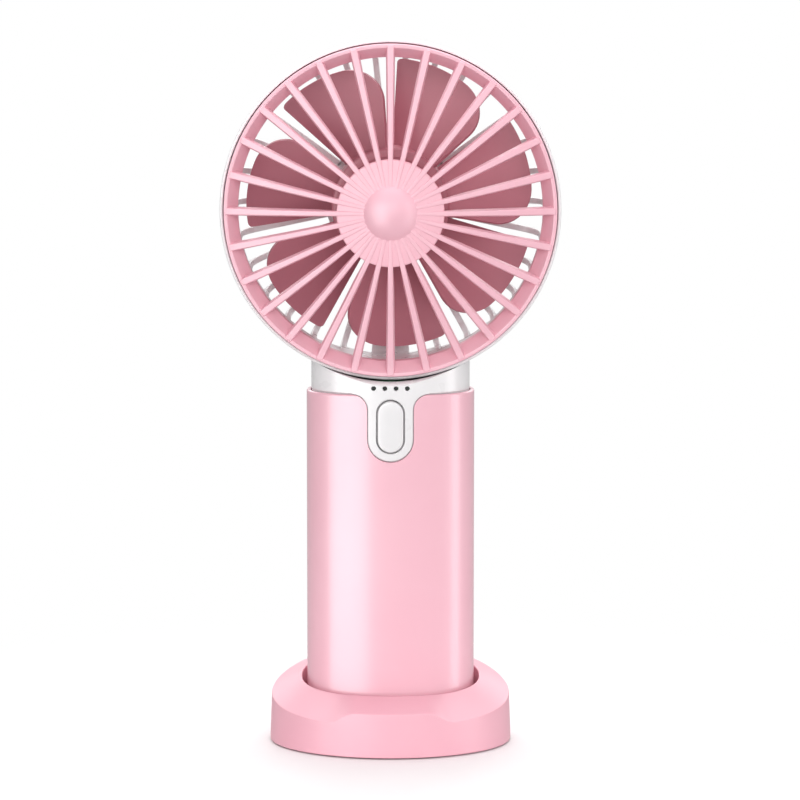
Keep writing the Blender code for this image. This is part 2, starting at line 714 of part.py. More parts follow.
def ribs_tool():
    """All the grille's ribs, each one a closed bar."""
    geometry = bmesh.new()
    start = BOSS_RADIUS + RIB_ROOT
    end = RING_RADIUS - RIB_END
    for index in range(RIB_COUNT):
        angle = 360 / RIB_COUNT * index
        along = head_point(angle, 1.0, 0)
        across = head_point(angle + 90, 1.0, 0)
        rings = []
        for station in range(RIB_STATIONS):
            share = station / (RIB_STATIONS - 1)
            reach = start + (end - start) * share
            width = RIB_INNER_WIDTH + (RIB_OUTER_WIDTH - RIB_INNER_WIDTH) * share
            front = rib_face_depth(reach)
            back = front + RIB_THICKNESS
            ring = []
            for side, depth in ((-1, front), (1, front), (1, back), (-1, back)):
                ring.append(along * reach + across * side * width / 2 + Vector((0, 0, depth)))
            rings.append(ring)
        rows = loft_rings(geometry, rings)
        geometry.faces.new(rows[0])
        geometry.faces.new(rows[-1])
    return to_head(mesh_from("ribs", geometry))


def build_front_grille():
    """Pink grille: ring, domed ribs and the disc with its boss."""
    grille = to_head(turned("front_grille", ring_profile(), 2 * RIB_COUNT, closed=True))
    disc = to_head(turned("grille_disc", disc_profile(), 2 * RIB_COUNT))
    join(grille, ribs_tool(), disc)
    return finish_part(grille, PINK, 0.35)


# ---------------------------------------------------------------- impeller and motor

def hub_profile():
    """Impeller hub: a cup that is closed at the front."""
    return [
        (0, HUB_FRONT + HUB_WALL),
        (HUB_RADIUS - HUB_WALL, HUB_FRONT + HUB_WALL),
        (HUB_RADIUS - HUB_WALL, HUB_REAR),
        (HUB_RADIUS, HUB_REAR),
        (HUB_RADIUS, HUB_FRONT + HUB_FILLET),
        (HUB_RADIUS - HUB_FILLET, HUB_FRONT),
        (0, HUB_FRONT),
    ]


def blade_top(share):
    """Tip radius along the span, from the back edge (0) to the front edge (1)."""
    late = max(0.0, (share - BLADE_CORNER_START) / (1 - BLADE_CORNER_START))
    corner = BLADE_CORNER * (1 - math.sqrt(1 - late * late))
    return BLADE_TIP_RADIUS - BLADE_TIP_DROP * share ** 2 - corner


def blades_tool():
    """The seven blades as thick helical sheets rooted in the hub's wall."""
    geometry = bmesh.new()
    root = HUB_RADIUS - HUB_WALL * 0.5
    half = BLADE_THICKNESS / 2
    for index in range(BLADE_COUNT):
        rows = []
        for column in range(BLADE_COLUMNS):
            even = column / (BLADE_COLUMNS - 1)
            share = math.sin(even * math.pi / 2) * 0.6 + even * 0.4
            angle = BLADE_PHASE + 360 / BLADE_COUNT * index + BLADE_SPAN * share
            depth = BLADE_REAR - half + (BLADE_FRONT - BLADE_REAR + BLADE_THICKNESS) * share
            top = blade_top(share)
            row = []
            for step in range(BLADE_ROWS + 1):
                radius = root + (top - root) * step / BLADE_ROWS
                row.append(geometry.verts.new(head_point(angle, radius, depth)))
            rows.append(row)
        for near, far in zip(rows, rows[1:]):
            for step in range(BLADE_ROWS):
                geometry.faces.new((near[step], near[step + 1], far[step + 1], far[step]))
    mesh = bpy.data.meshes.new("blades")
    geometry.to_mesh(mesh)
    geometry.free()
    blades = to_head(add_mesh("blades", mesh))
    thick = blades.modifiers.new("thickness", "SOLIDIFY")
    thick.thickness = BLADE_THICKNESS
    thick.offset = 0.0
    return blades


def build_impeller():
    impeller = to_head(turned("impeller", hub_profile(), 42))
    join(impeller, blades_tool())
    return finish_part(impeller, ROSE, 0.4)


def ring_part(name, outer, inner, front, back, steps=32):
    """A plain turned ring on the motor axis."""
    profile = [(outer, back), (outer, front), (inner, front), (inner, back)]
    return to_head(turned(name, profile, steps, closed=True))


def build_rotor():
    """Steel cup, magnet and shaft that turn with the impeller."""
    bore = SHAFT_RADIUS + GAP
    profile = [
        (ROTOR_CUP_RADIUS, ROTOR_CUP_REAR),
        (ROTOR_CUP_RADIUS, ROTOR_CUP_FRONT),
        (bore, ROTOR_CUP_FRONT),
        (bore, ROTOR_CUP_FRONT + ROTOR_CUP_WALL),
        (ROTOR_CUP_RADIUS - ROTOR_CUP_WALL, ROTOR_CUP_FRONT + ROTOR_CUP_WALL),
        (ROTOR_CUP_RADIUS - ROTOR_CUP_WALL, ROTOR_CUP_REAR),
    ]
    cup = finish_part(to_head(turned("rotor_cup", profile, 32, closed=True)), STEEL, 0.35, 1.0)
    magnet_back = ROTOR_CUP_REAR - GAP
    magnet = ring_part("magnet_ring", MAGNET_RADIUS, MAGNET_RADIUS - MAGNET_WALL,
                       magnet_back - MAGNET_LENGTH, magnet_back)
    finish_part(magnet, DARK, 0.6)
    shaft_front = ROTOR_CUP_FRONT
    shaft_back = TUBE_FLOOR - GAP
    profile = [(0, shaft_back), (SHAFT_RADIUS, shaft_back), (SHAFT_RADIUS, shaft_front), (0, shaft_front)]
    shaft = finish_part(to_head(turned("motor_shaft", profile, 12)), STEEL, 0.2, 1.0)
    return cup, magnet, shaft


def build_bearings():
    front = ring_part("bearing_front", BEARING_RADIUS, BEARING_BORE, TUBE_FRONT + GAP,
                      TUBE_FRONT + GAP + BEARING_LENGTH, 16)
    rear = ring_part("bearing_rear", BEARING_RADIUS, BEARING_BORE,
                     TUBE_FLOOR - 1.0 * MM - BEARING_LENGTH, TUBE_FLOOR - 1.0 * MM, 16)
    return finish_part(front, COPPER, 0.4, 1.0), finish_part(rear, COPPER, 0.4, 1.0)


def stator_outline():
    """Six-tooth lamination outline."""
    points = []
    neck_far = STATOR_RADIUS - TOOTH_TIP_DEPTH
    for index in range(TOOTH_COUNT):
        middle = 360 / TOOTH_COUNT * index
        root_angle = math.degrees(math.asin(TOOTH_WIDTH / 2 / YOKE_RADIUS))
        neck_angle = math.degrees(math.asin(TOOTH_WIDTH / 2 / neck_far))
        for radius, angle in (
            (YOKE_RADIUS, -root_angle),
            (neck_far, -neck_angle),
            (neck_far, -TOOTH_TIP_ANGLE),
            (STATOR_RADIUS, -TOOTH_TIP_ANGLE),
            (STATOR_RADIUS, 0.0),
            (STATOR_RADIUS, TOOTH_TIP_ANGLE),
            (neck_far, TOOTH_TIP_ANGLE),
            (neck_far, neck_angle),
            (YOKE_RADIUS, root_angle),
        ):
            turn = math.radians(middle + angle)
            points.append((radius * math.cos(turn), radius * math.sin(turn)))
    return points


def build_stator():
    """Laminated core and one coil on each tooth."""
    front = STATOR_MIDDLE - STATOR_LENGTH / 2
    core = prism("stator_core", stator_outline(), front, front + STATOR_LENGTH)
    bore_outline = arc(0, 0, TUBE_RADIUS + GAP, 0, 360 - 360 / 24, 23)
    bore = prism("stator_bore", bore_outline, front - OVERLAP, front + STATOR_LENGTH + OVERLAP)
    to_head(core)
    to_head(bore)
    cut(core, bore)
    finish_part(core, STEEL, 0.5, 1.0, smooth=False)
    near = YOKE_RADIUS + GAP
    far = (STATOR_RADIUS - TOOTH_TIP_DEPTH) * math.cos(math.radians(TOOTH_TIP_ANGLE)) - GAP
    coils = []
    for index in range(TOOTH_COUNT):
        angle = 90 + 360 / TOOTH_COUNT * index
        hole_half = TOOTH_WIDTH / 2 + GAP
        deep = STATOR_LENGTH / 2 + GAP
        geometry = bmesh.new()
        outer = 2 * (hole_half + COIL_WALL)
        reach = deep + COIL_WALL
        depths = (STATOR_MIDDLE - reach, STATOR_MIDDLE + reach)
        add_wedge(geometry, angle, (near, far), depths, (outer, outer))
        coil = to_head(mesh_from(f"stator_coil_{index + 1}", geometry))
        geometry = bmesh.new()
        depths = (STATOR_MIDDLE - deep, STATOR_MIDDLE + deep)
        add_wedge(geometry, angle, (near - OVERLAP, far + OVERLAP), depths, (2 * hole_half, 2 * hole_half))
        cut(coil, to_head(mesh_from(f"coil_hole_{index + 1}", geometry)))
        coils.append(finish_part(coil, COPPER, 0.35, 1.0, smooth=False))
    board = ring_part("motor_board", MOTOR_BOARD_RADIUS, TUBE_RADIUS + GAP, MOTOR_BOARD_FRONT,
                      MOTOR_BOARD_FRONT + BOARD_THICKNESS, 32)
    return core, coils, finish_part(board, GREEN, 0.5)


# ---------------------------------------------------------------- handle

def build_sleeve():
    """Pink outer sleeve with its notch for the tongue and the charging opening."""
    geometry = bmesh.new()
    outline = oval(SLEEVE_HALF_WIDTH, SLEEVE_HALF_DEPTH)
    loft_rings(geometry, [[(x, y, z) for x, y in outline] for z in (SLEEVE_BOTTOM, SEAM_HEIGHT)])
    sleeve = mesh_from("handle_sleeve", geometry)
    shell = sleeve.modifiers.new("wall", "SOLIDIFY")
    shell.thickness = SLEEVE_WALL
    shell.offset = -1.0
    shell.use_even_offset = True
    bottom_middle = TONGUE_BOTTOM + TONGUE_HALF_WIDTH
    outline = tongue_outline(TONGUE_HALF_WIDTH + GAP, TONGUE_FILLET - GAP, SEAM_HEIGHT, bottom_middle)
    notch = prism("tongue_notch", outline, -SLEEVE_HALF_DEPTH - 5 * MM, -BODY_HALF_DEPTH / 2, "Y")
    cut(sleeve, notch, usb_opening("sleeve_usb_opening", GAP + 0.4 * MM))
    return finish_part(sleeve, PINK, 0.35)


def build_bottom_cap():
    """Pink cap that closes the sleeve, with a plug inside the inner body."""
    cap = prism("bottom_cap", oval(SLEEVE_HALF_WIDTH, SLEEVE_HALF_DEPTH), HANDLE_BOTTOM,
                HANDLE_BOTTOM + CAP_HEIGHT)
    bevel = cap.modifiers.new("edge", "BEVEL")
    bevel.width = 1.2 * MM
    bevel.segments = 1
    bevel.limit_method = "ANGLE"
    plug = prism("cap_plug", oval(CAVITY_HALF_WIDTH - GAP, CAVITY_HALF_DEPTH - GAP),
                 HANDLE_BOTTOM + CAP_HEIGHT / 2, SLEEVE_BOTTOM + CAP_PLUG)
    join(cap, plug)
    return finish_part(cap, PINK, 0.35)


def upright(name, radius, bottom, top, steps, x=0.0, y=0.0):
    """A plain upright cylinder."""
    geometry = bmesh.new()
    middle = Matrix.Translation((x, y, (bottom + top) / 2))
    bmesh.ops.create_cone(geometry, cap_ends=True, segments=steps, radius1=radius, radius2=radius,
                          depth=top - bottom, matrix=middle)
    return mesh_from(name, geometry)


def build_battery():
    """The cell and the metal tab on each of its ends."""
    profile = [
        (0, CELL_TOP),
        (3.0 * MM, CELL_TOP),
        (3.0 * MM, CELL_TOP - 0.8 * MM),
        (CELL_RADIUS - 0.6 * MM, CELL_TOP - 0.8 * MM),
        (CELL_RADIUS, CELL_TOP - 1.4 * MM),
        (CELL_RADIUS, CELL_BOTTOM + 0.6 * MM),
        (CELL_RADIUS - 0.6 * MM, CELL_BOTTOM),
        (0, CELL_BOTTOM),
    ]
    cell = finish_part(turned("battery_cell", profile, 32), BLUE, 0.4)
    half = 3.0 * MM
    high = CELL_TOP + GAP
    top = box("battery_tab_top", (-half, -half, high), (half, half * 2, high + TAB_THICKNESS))
    low = CELL_BOTTOM - GAP - TAB_THICKNESS
    bottom = box("battery_tab_bottom", (-half, -half, low), (half, half * 2, low + TAB_THICKNESS))
    return cell, finish_part(top, STEEL, 0.3, 1.0, False), finish_part(bottom, STEEL, 0.3, 1.0, False)


def build_charging():
    """Small flat board with the charging socket that faces the back."""
    half_width = CHARGE_BOARD_HALF_WIDTH
    board = box("charge_board", (-half_width, CHARGE_BOARD_FRONT, CHARGE_BOARD_BOTTOM),
                (half_width, USB_BACK - CHARGE_BOARD_BACK, CHARGE_BOARD_BOTTOM + BOARD_THICKNESS))
    finish_part(board, GREEN, 0.5, smooth=False)

    def socket_outline(grow):
        radius = USB_HEIGHT / 2 + grow
        half = USB_HALF_WIDTH + grow
        outline = arc(half - radius, USB_MIDDLE, radius, -90, 90, 6)
        return outline + arc(radius - half, USB_MIDDLE, radius, 90, 270, 6)

    front = USB_BACK - USB_LENGTH
    socket = prism("usb_socket", socket_outline(0), front, USB_BACK, "Y")
    mouth = prism("usb_mouth", socket_outline(-USB_WALL), front + USB_WALL * 2, USB_BACK + OVERLAP, "Y")
    half_thick = USB_TONGUE_THICKNESS / 2
    blade = box("usb_blade", (-USB_TONGUE_HALF_WIDTH, front + USB_WALL, USB_MIDDLE - half_thick),
                (USB_TONGUE_HALF_WIDTH, USB_BACK - USB_MOUTH_RECESS, USB_MIDDLE + half_thick))
    cut(socket, mouth)
    join(socket, blade)
    return board, finish_part(socket, STEEL, 0.25, 1.0)


def build_controls():
    """Control board, switch, indicator lamps and their light pipe."""
    back = CONTROL_BOARD_FRONT + BOARD_THICKNESS
    board = box("control_board", (-CONTROL_BOARD_HALF_WIDTH, CONTROL_BOARD_FRONT, CONTROL_BOARD_BOTTOM),
                (CONTROL_BOARD_HALF_WIDTH, back, CONTROL_BOARD_TOP))
    finish_part(board, GREEN, 0.5, smooth=False)

    half = SWITCH_SIZE / 2
    switch = box("switch_body", (-half, SWITCH_FRONT, BUTTON_MIDDLE - half),
                 (half, SWITCH_FRONT + SWITCH_DEPTH, BUTTON_MIDDLE + half))
    well_radius = PLUNGER_RADIUS + GAP
    well = prism("plunger_well", arc(0, BUTTON_MIDDLE, well_radius, 0, 337.5, 15),
                 SWITCH_FRONT - OVERLAP, SWITCH_FRONT + SWITCH_DEPTH - PLUNGER_WELL_FLOOR, "Y")
    cut(switch, well)
    finish_part(switch, DARK, 0.5, smooth=False)

    lamps = []
    lamp_half = LED_SIZE / 2
    lamp_back = CONTROL_BOARD_FRONT - GAP
    lamp_front = lamp_back - LED_THICKNESS
    for index, x in enumerate(led_places()):
        lamp = box(f"indicator_led_{index + 1}", (x - lamp_half, lamp_front, LED_HEIGHT - lamp_half),
                   (x + lamp_half, lamp_back, LED_HEIGHT + lamp_half))
        lamps.append(finish_part(lamp, CLEAR, 0.3, smooth=False))

    bar_back = lamp_front - GAP
    bar_half = LED_PITCH * (LED_COUNT - 1) / 2 + LED_SIZE
    pipe = box("light_pipe", (-bar_half, bar_back - LIGHT_BAR_THICKNESS, LED_HEIGHT - lamp_half),
               (bar_half, bar_back, LED_HEIGHT + lamp_half))
    for index, x in enumerate(led_places()):
        pin = prism(f"light_pin_{index}", arc(x, LED_HEIGHT, LIGHT_PIPE_RADIUS, 0, 315, 7),
                    -NECK_HALF_DEPTH + LIGHT_PIPE_RECESS, bar_back - LIGHT_PIN_OVERLAP, "Y")
        join(pipe, pin)
    return board, switch, lamps, finish_part(pipe, CLEAR, 0.2, smooth=False)


def build_button():
    """White pill button with its retaining flange, and the switch plunger behind it."""
    face = pill(BUTTON_HALF_WIDTH, BUTTON_HALF_HEIGHT, BUTTON_MIDDLE)
    cap = prism("power_button", face, BUTTON_FRONT, FLANGE_FRONT + BUTTON_FLANGE / 2, "Y")
    bevel = cap.modifiers.new("edge", "BEVEL")
    bevel.width = BUTTON_BEVEL
    bevel.segments = 2
    bevel.limit_method = "ANGLE"
    margin = BUTTON_CLEARANCE + BUTTON_FLANGE_MARGIN
    rim = pill(BUTTON_HALF_WIDTH + margin, BUTTON_HALF_HEIGHT + margin, BUTTON_MIDDLE)
    join(cap, prism("button_flange", rim, FLANGE_FRONT, FLANGE_BACK, "Y"))
    finish_part(cap, WHITE, 0.3)
    plunger = prism("switch_plunger", arc(0, BUTTON_MIDDLE, PLUNGER_RADIUS, 0, 337.5, 15),
                    FLANGE_BACK + GAP, SWITCH_FRONT + PLUNGER_TAIL, "Y")
    return cap, finish_part(plunger, DARK, 0.5)


def lead(name, points, colour):
    """A wire through the given points, rounded by a smooth curve."""
    route = [Vector(point) for point in points]
    smooth = []
    for i in range(len(route) - 1):
        before = route[max(i - 1, 0)]
        after = route[min(i + 2, len(route) - 1)]
        start, end = route[i], route[i + 1]
        for step in range(3):
            t = step / 3
            smooth.append(0.5 * ((2 * start) + (end - before) * t
                                 + (2 * before - 5 * start + 4 * end - after) * t * t
                                 + (3 * start - before - 3 * end + after) * t ** 3))
    smooth.append(route[-1])
    curve = bpy.data.curves.new(name, "CURVE")
    curve.dimensions = "3D"
    curve.bevel_depth = LEAD_RADIUS
    curve.bevel_resolution = 1
    curve.use_fill_caps = True
    spline = curve.splines.new("POLY")
    spline.points.add(len(smooth) - 1)
    for point, place in zip(spline.points, smooth):
        point.co = (*place, 1.0)
    wire = bpy.data.objects.new(name, curve)
    PARTS.objects.link(wire)
    curve.materials.append(make_material(name, colour, 0.5))
    return wire


def build_leads():
    """The lead from the motor board to the control board, and the one from the cell."""
    back = MOTOR_BOARD_FRONT + BOARD_THICKNESS + GAP + LEAD_RADIUS
    groove = DUCT_BACK + 0.45 * MM
    duct_bottom = HEAD_HEIGHT - DUCT_RADIUS
    board_back = CONTROL_BOARD_FRONT + BOARD_THICKNESS + GAP
    motor = lead("motor_lead", [
        (0, back, HEAD_HEIGHT - 8 * MM),
        (0, back + 0.2 * MM, HEAD_HEIGHT - 12 * MM),
        (0, groove, HEAD_HEIGHT - 17 * MM),
        (0, groove, HEAD_HEIGHT - 28 * MM),
        (0, DUCT_BACK + 0.3 * MM, duct_bottom + 8.4 * MM),
        (0, DUCT_BACK - 0.6 * MM, duct_bottom + 4.8 * MM),
        (0, DUCT_BACK - 1.9 * MM, duct_bottom + 2.2 * MM),
        (0, DUCT_BACK - 3.8 * MM, duct_bottom + 0.65 * MM),
        (0, DUCT_BACK - 6.0 * MM, duct_bottom + 0.2 * MM),
        (0, DUCT_BACK - 8.4 * MM, duct_bottom - 0.3 * MM),
        (0, 9.4 * MM, duct_bottom - 1.8 * MM),
        (0, 9.2 * MM, duct_bottom - 4.6 * MM),
        (0, 8.0 * MM, duct_bottom - 9 * MM),
        (0, 4.0 * MM, LED_HEIGHT - 8 * MM),
        (0, board_back + LEAD_RADIUS, LED_HEIGHT - 11 * MM),
    ], WHITE)
    edge = CHARGE_BOARD_FRONT - GAP - LEAD_RADIUS
    battery = lead("battery_lead", [
        (0, -3.0 * MM - LEAD_RADIUS - GAP, CELL_TOP + GAP + TAB_THICKNESS),
        (0, edge - 0.4 * MM, CHARGE_BOARD_BOTTOM + 1 * MM),
        (0, edge - 0.2 * MM, CHARGE_BOARD_BOTTOM + 4 * MM),
        (0, board_back + LEAD_RADIUS, CHARGE_BOARD_BOTTOM + 7 * MM),
    ], (0.6, 0.03, 0.03))
    return motor, battery


# ---------------------------------------------------------------- dock

def ease(share):
    """Smooth step from 0 to 1."""
    share = min(max(share, 0.0), 1.0)
    return share * share * (3 - 2 * share)


def dock_edge_height(x, y):
    """Height of the outer wall's top edge, with the raised lip at the front."""
    height = DOCK_EDGE_HEIGHT + DOCK_EDGE_SLOPE * y + DOCK_EDGE_BOW * y * y
    if y > 0:
        return height
    lip = 1 - ease((abs(x) - LIP_FLAT_HALF) / (LIP_FOOT_HALF - LIP_FLAT_HALF))
    return height + max(LIP_HEIGHT - height, 0.0) * lip


def dock_rings():
    """Rings of the dock's outer skin, from the desk up, in over the collar and down the pocket."""
    bottom = oval(DOCK_HALF_WIDTH, DOCK_HALF_DEPTH, DOCK_STEPS, 2.0)
    top = oval(DOCK_HALF_WIDTH - DOCK_DRAFT, DOCK_HALF_DEPTH - DOCK_DRAFT, DOCK_STEPS, 2.0)
    pocket = oval(SLEEVE_HALF_WIDTH + POCKET_CLEARANCE, SLEEVE_HALF_DEPTH + POCKET_CLEARANCE, DOCK_STEPS)
    rings = [[(x, y, DOCK_LIFT) for x, y in bottom]]
    rings.append([(x, y, dock_edge_height(x, y)) for x, y in top])
    rings.append([(x, y, DOCK_RIM_HEIGHT + DOCK_RIM_SLOPE * y) for x, y in pocket])
    rings.append([(x, y, POCKET_FLOOR) for x, y in pocket])
    return rings


def dock_boss_places():
    """Centre and top of each screw boss, between the outer edge and the rim."""
    _, edge, rim, _ = dock_rings()
    places = []
    for angle in DOCK_BOSS_ANGLES:
        index = round(angle / 360 * DOCK_STEPS) % DOCK_STEPS
        place = Vector(edge[index]).lerp(Vector(rim[index]), DOCK_BOSS_SHARE)
        places.append((place.x, place.y, place.z - DOCK_WALL * 0.6))
    return places


def build_dock_shell():
    """Pink dock body: one thin moulding, open underneath."""
    geometry = bmesh.new()
    rows = loft_rings(geometry, dock_rings())
    geometry.faces.new(rows[-1])
    shell = mesh_from("dock_shell", geometry)
    wall = shell.modifiers.new("wall", "SOLIDIFY")
    wall.thickness = DOCK_WALL
    wall.offset = -1.0
    wall.use_even_offset = True
    boss_bottom = PLATE_BOTTOM + PLATE_THICKNESS + GAP
    for index, (x, y, top) in enumerate(dock_boss_places()):
        join(shell, upright(f"dock_boss_{index}", DOCK_BOSS_RADIUS, boss_bottom, top, SCREW_STEPS, x, y))
        cut(shell, upright(f"dock_boss_hole_{index}", SCREW_RADIUS + GAP, boss_bottom - 1 * MM,
                           PLATE_BOTTOM + DOCK_SCREW_LENGTH + 1 * MM, SCREW_STEPS, x, y))
    return finish_part(shell, PINK, 0.35)


def dock_screw(name, x, y, grow=0.0, well=0.0):
    """A screw driven up into the dock, or its clearance."""
    item = turned(name, screw_profile(DOCK_SCREW_LENGTH, grow, well), SCREW_STEPS)
    item.rotation_euler = (math.pi, 0, 0)
    item.location = (x, y, PLATE_BOTTOM + GAP)
    return item


def build_dock_base():
    """Bottom plate with its screws and the non-slip pad."""
    inset = DOCK_WALL + GAP + DOCK_DRAFT
    outline = oval(DOCK_HALF_WIDTH - inset, DOCK_HALF_DEPTH - inset, DOCK_STEPS, 2.0)
    plate = prism("dock_base_plate", outline, PLATE_BOTTOM, PLATE_BOTTOM + PLATE_THICKNESS)
    screws = []
    for index, (x, y, _) in enumerate(dock_boss_places()):
        cut(plate, dock_screw(f"dock_screw_hole_{index}", x, y, GAP, SCREW_WELL))
        screws.append(finish_part(dock_screw(f"dock_screw_{index + 1}", x, y), STEEL, 0.3, 1.0))
    finish_part(plate, PINK, 0.5)
    pad = prism("dock_pad", oval(DOCK_HALF_WIDTH - PAD_INSET, DOCK_HALF_DEPTH - PAD_INSET, 40, 2.0),
                0.0, PAD_THICKNESS)
    return plate, screws, finish_part(pad, DARK, 0.8)


def hang(parts, name, location):
    """Parents parts to an empty that stands on their joint's axis."""
    pivot = bpy.data.objects.new(name, None)
    pivot.location = location
    PARTS.objects.link(pivot)
    for part in parts:
        part.parent = pivot
        part.matrix_parent_inverse = Matrix.Translation(-Vector(location))
    return pivot


def build_fan():
    """The fan body, its rotor and its button."""
    fixed = [build_rear_housing(), build_front_housing(), build_front_grille()]
    fixed += [build_sleeve(), build_bottom_cap()]
    fixed += build_bearings()
    core, coils, motor_board = build_stator()
    fixed += [core, motor_board, *coils]
    fixed += build_battery()
    fixed += build_charging()
    board, switch, lamps, pipe = build_controls()
    fixed += [board, switch, pipe, *lamps]
    fixed += build_leads()
    for name, x, z in body_screw_places():
        fixed.append(finish_part(body_screw(name, x, z), STEEL, 0.3, 1.0))
    hang(fixed, "fan_body_axis", (0, 0, HANDLE_BOTTOM))
    hang([build_impeller(), *build_rotor()], "rotor_axis", (0, 0, HEAD_HEIGHT))
    hang(build_button(), "button_axis", (0, BUTTON_FRONT, BUTTON_MIDDLE))


def build_dock():
    """The dock that the fan stands in."""
    build_dock_shell()
    build_dock_base()


clear_scene()
build_dock()
build_fan()
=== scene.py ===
"""Looks of the handheld fan and its desk dock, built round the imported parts.

Each sub-assembly is a class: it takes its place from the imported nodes, models its visible pieces with
Blender's own tools and dresses them. Metres, +Z up, the fan blows towards -Y.
"""
from __future__ import annotations

import logging
import math
import sys
from dataclasses import dataclass
from enum import Enum
from typing import Callable, Sequence

import bpy
from mathutils import Matrix, Vector


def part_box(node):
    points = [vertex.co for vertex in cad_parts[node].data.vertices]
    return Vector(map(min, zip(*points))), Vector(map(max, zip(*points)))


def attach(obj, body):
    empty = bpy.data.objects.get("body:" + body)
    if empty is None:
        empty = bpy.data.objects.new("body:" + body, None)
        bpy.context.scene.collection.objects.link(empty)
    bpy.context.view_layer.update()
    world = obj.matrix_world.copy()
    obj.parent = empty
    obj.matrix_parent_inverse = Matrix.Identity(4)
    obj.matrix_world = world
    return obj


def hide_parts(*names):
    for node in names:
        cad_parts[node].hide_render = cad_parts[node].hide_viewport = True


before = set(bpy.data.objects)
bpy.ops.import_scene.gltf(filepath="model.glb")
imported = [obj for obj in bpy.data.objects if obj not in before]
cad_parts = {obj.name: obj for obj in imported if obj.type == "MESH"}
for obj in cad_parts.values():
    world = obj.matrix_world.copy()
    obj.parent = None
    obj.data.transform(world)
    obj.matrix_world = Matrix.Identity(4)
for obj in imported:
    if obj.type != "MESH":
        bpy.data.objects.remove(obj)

MM = 0.001
GAP = 0.3 * MM                  # the fit between two mouldings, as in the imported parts
OVAL_POWER = 2.3                # 2 is an ellipse, more is squarer
FINE = 160                      # facets round the handle and the dock
ROUND = 168                     # facets round the head, a multiple of the grille's ribs
MERGE = 0.002 * MM
CLEAR = 5 * MM                  # how far a cutter runs past the surface that it cuts
SHARP_ANGLE = math.radians(32)  # edges sharper than this stay sharp
FLAT_WEIGHT = 100               # lets flat faces keep their own shading beside rounded edges

log = logging.getLogger("handheld_fan")


# ---------------------------------------------------------------- bench tools

class Boolean(Enum):
    """How one solid works on another."""

    ADD = "UNION"
    CUT = "DIFFERENCE"
    KEEP = "INTERSECT"


@dataclass(frozen=True)
class Extent:
    """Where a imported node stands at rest."""

    low: Vector
    high: Vector

    @classmethod
    def of(cls, node: str) -> "Extent":
        """The extent of the named node."""
        low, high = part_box(node)
        return cls(low, high)

    @property
    def middle(self) -> Vector:
        """The middle of the box."""
        return (self.low + self.high) / 2

    @property
    def half(self) -> Vector:
        """Half of the box's size."""
        return (self.high - self.low) / 2


def make_active(piece: bpy.types.Object) -> None:
    """Selects one piece alone and makes it active."""
    for other in list(bpy.context.selected_objects):
        other.select_set(False)
    piece.select_set(True)
    bpy.context.view_layer.objects.active = piece


def open_edit(piece: bpy.types.Object) -> None:
    """Opens a piece in edit mode with all of it selected."""
    make_active(piece)
    bpy.ops.object.mode_set(mode="EDIT")
    bpy.ops.mesh.select_mode(type="VERT")
    bpy.ops.mesh.select_all(action="SELECT")


def close_edit() -> None:
    """Goes back to object mode."""
    bpy.ops.object.mode_set(mode="OBJECT")


def tidy_mesh(piece: bpy.types.Object) -> bpy.types.Object:
    """Merges doubles and turns the faces outwards."""
    open_edit(piece)
    bpy.ops.mesh.remove_doubles(threshold=MERGE)
    bpy.ops.mesh.normals_make_consistent(inside=False)
    close_edit()
    return piece


def apply_modifier(piece: bpy.types.Object, kind: str, **settings: object) -> bpy.types.Object:
    """Puts a modifier of Blender's own kind on a piece, sets it and applies it."""
    make_active(piece)
    modifier = piece.modifiers.new(kind.lower(), kind)
    for key, value in settings.items():
        setattr(modifier, key, value)
    bpy.ops.object.modifier_apply(modifier=modifier.name)
    return piece


def soften(points: Sequence[Vector], radii: Sequence[float], steps: int = 4,
           closed: bool = True) -> list[Vector]:
    """Rounds the corners of a chain of points.

    Args:
        points: The corners, in two or three dimensions.
        radii: Each corner's radius, 0 to leave it sharp.
        steps: Facets in each rounded corner.
        closed: Whether the last corner joins the first.

    Returns:
        The points of the rounded chain.
    """
    chain = []
    count = len(points)
    for index, (corner, radius) in enumerate(zip(points, radii)):
        if radius <= 0 or (not closed and index in (0, count - 1)):
            chain.append(corner.copy())
            continue
        before = points[index - 1] - corner
        after = points[(index + 1) % count] - corner
        half = before.angle(after) / 2
        reach = min(radius / math.tan(half), 0.49 * min(before.length, after.length))
        start = corner + before.normalized() * reach
        end = corner + after.normalized() * reach
        depth = reach * math.tan(half) / math.sin(half)
        centre = corner + (before.normalized() + after.normalized()).normalized() * depth
        whole = math.pi - 2 * half
        for step in range(steps + 1):
            share = step / steps
            first = math.sin((1 - share) * whole) / math.sin(whole)
            second = math.sin(share * whole) / math.sin(whole)
            chain.append(centre + (start - centre) * first + (end - centre) * second)
    return chain


def arc(middle: Vector, radius: float, start: float, end: float, steps: int) -> list[Vector]:
    """Points on a flat arc, angles in degrees, both ends included."""
    points = []
    for step in range(steps + 1):
        angle = math.radians(start + (end - start) * step / steps)
        points.append(middle + Vector((math.cos(angle), math.sin(angle))) * radius)
    return points


def oval(half_width: float, half_depth: float, steps: int = FINE, power: float = OVAL_POWER) -> list[Vector]:
    """Points round a superellipse, from +X anticlockwise seen from above."""
    points = []
    for step in range(steps):
        angle = 2 * math.pi * step / steps
        across = math.copysign(abs(math.cos(angle)) ** (2 / power), math.cos(angle))
        along = math.copysign(abs(math.sin(angle)) ** (2 / power), math.sin(angle))
        points.append(Vector((half_width * across, half_depth * along)))
    return points


def level(half_width: float, half_depth: float, height: float, steps: int = FINE,
          power: float = OVAL_POWER) -> list[Vector]:
    """A level oval ring at a height."""
    return [Vector((p.x, p.y, height)) for p in oval(half_width, half_depth, steps, power)]


def standing(outline: Sequence[Vector], depth: float) -> list[Vector]:
    """An outline in X and Z as a ring at a depth."""
    return [Vector((p.x, depth, p.y)) for p in outline]


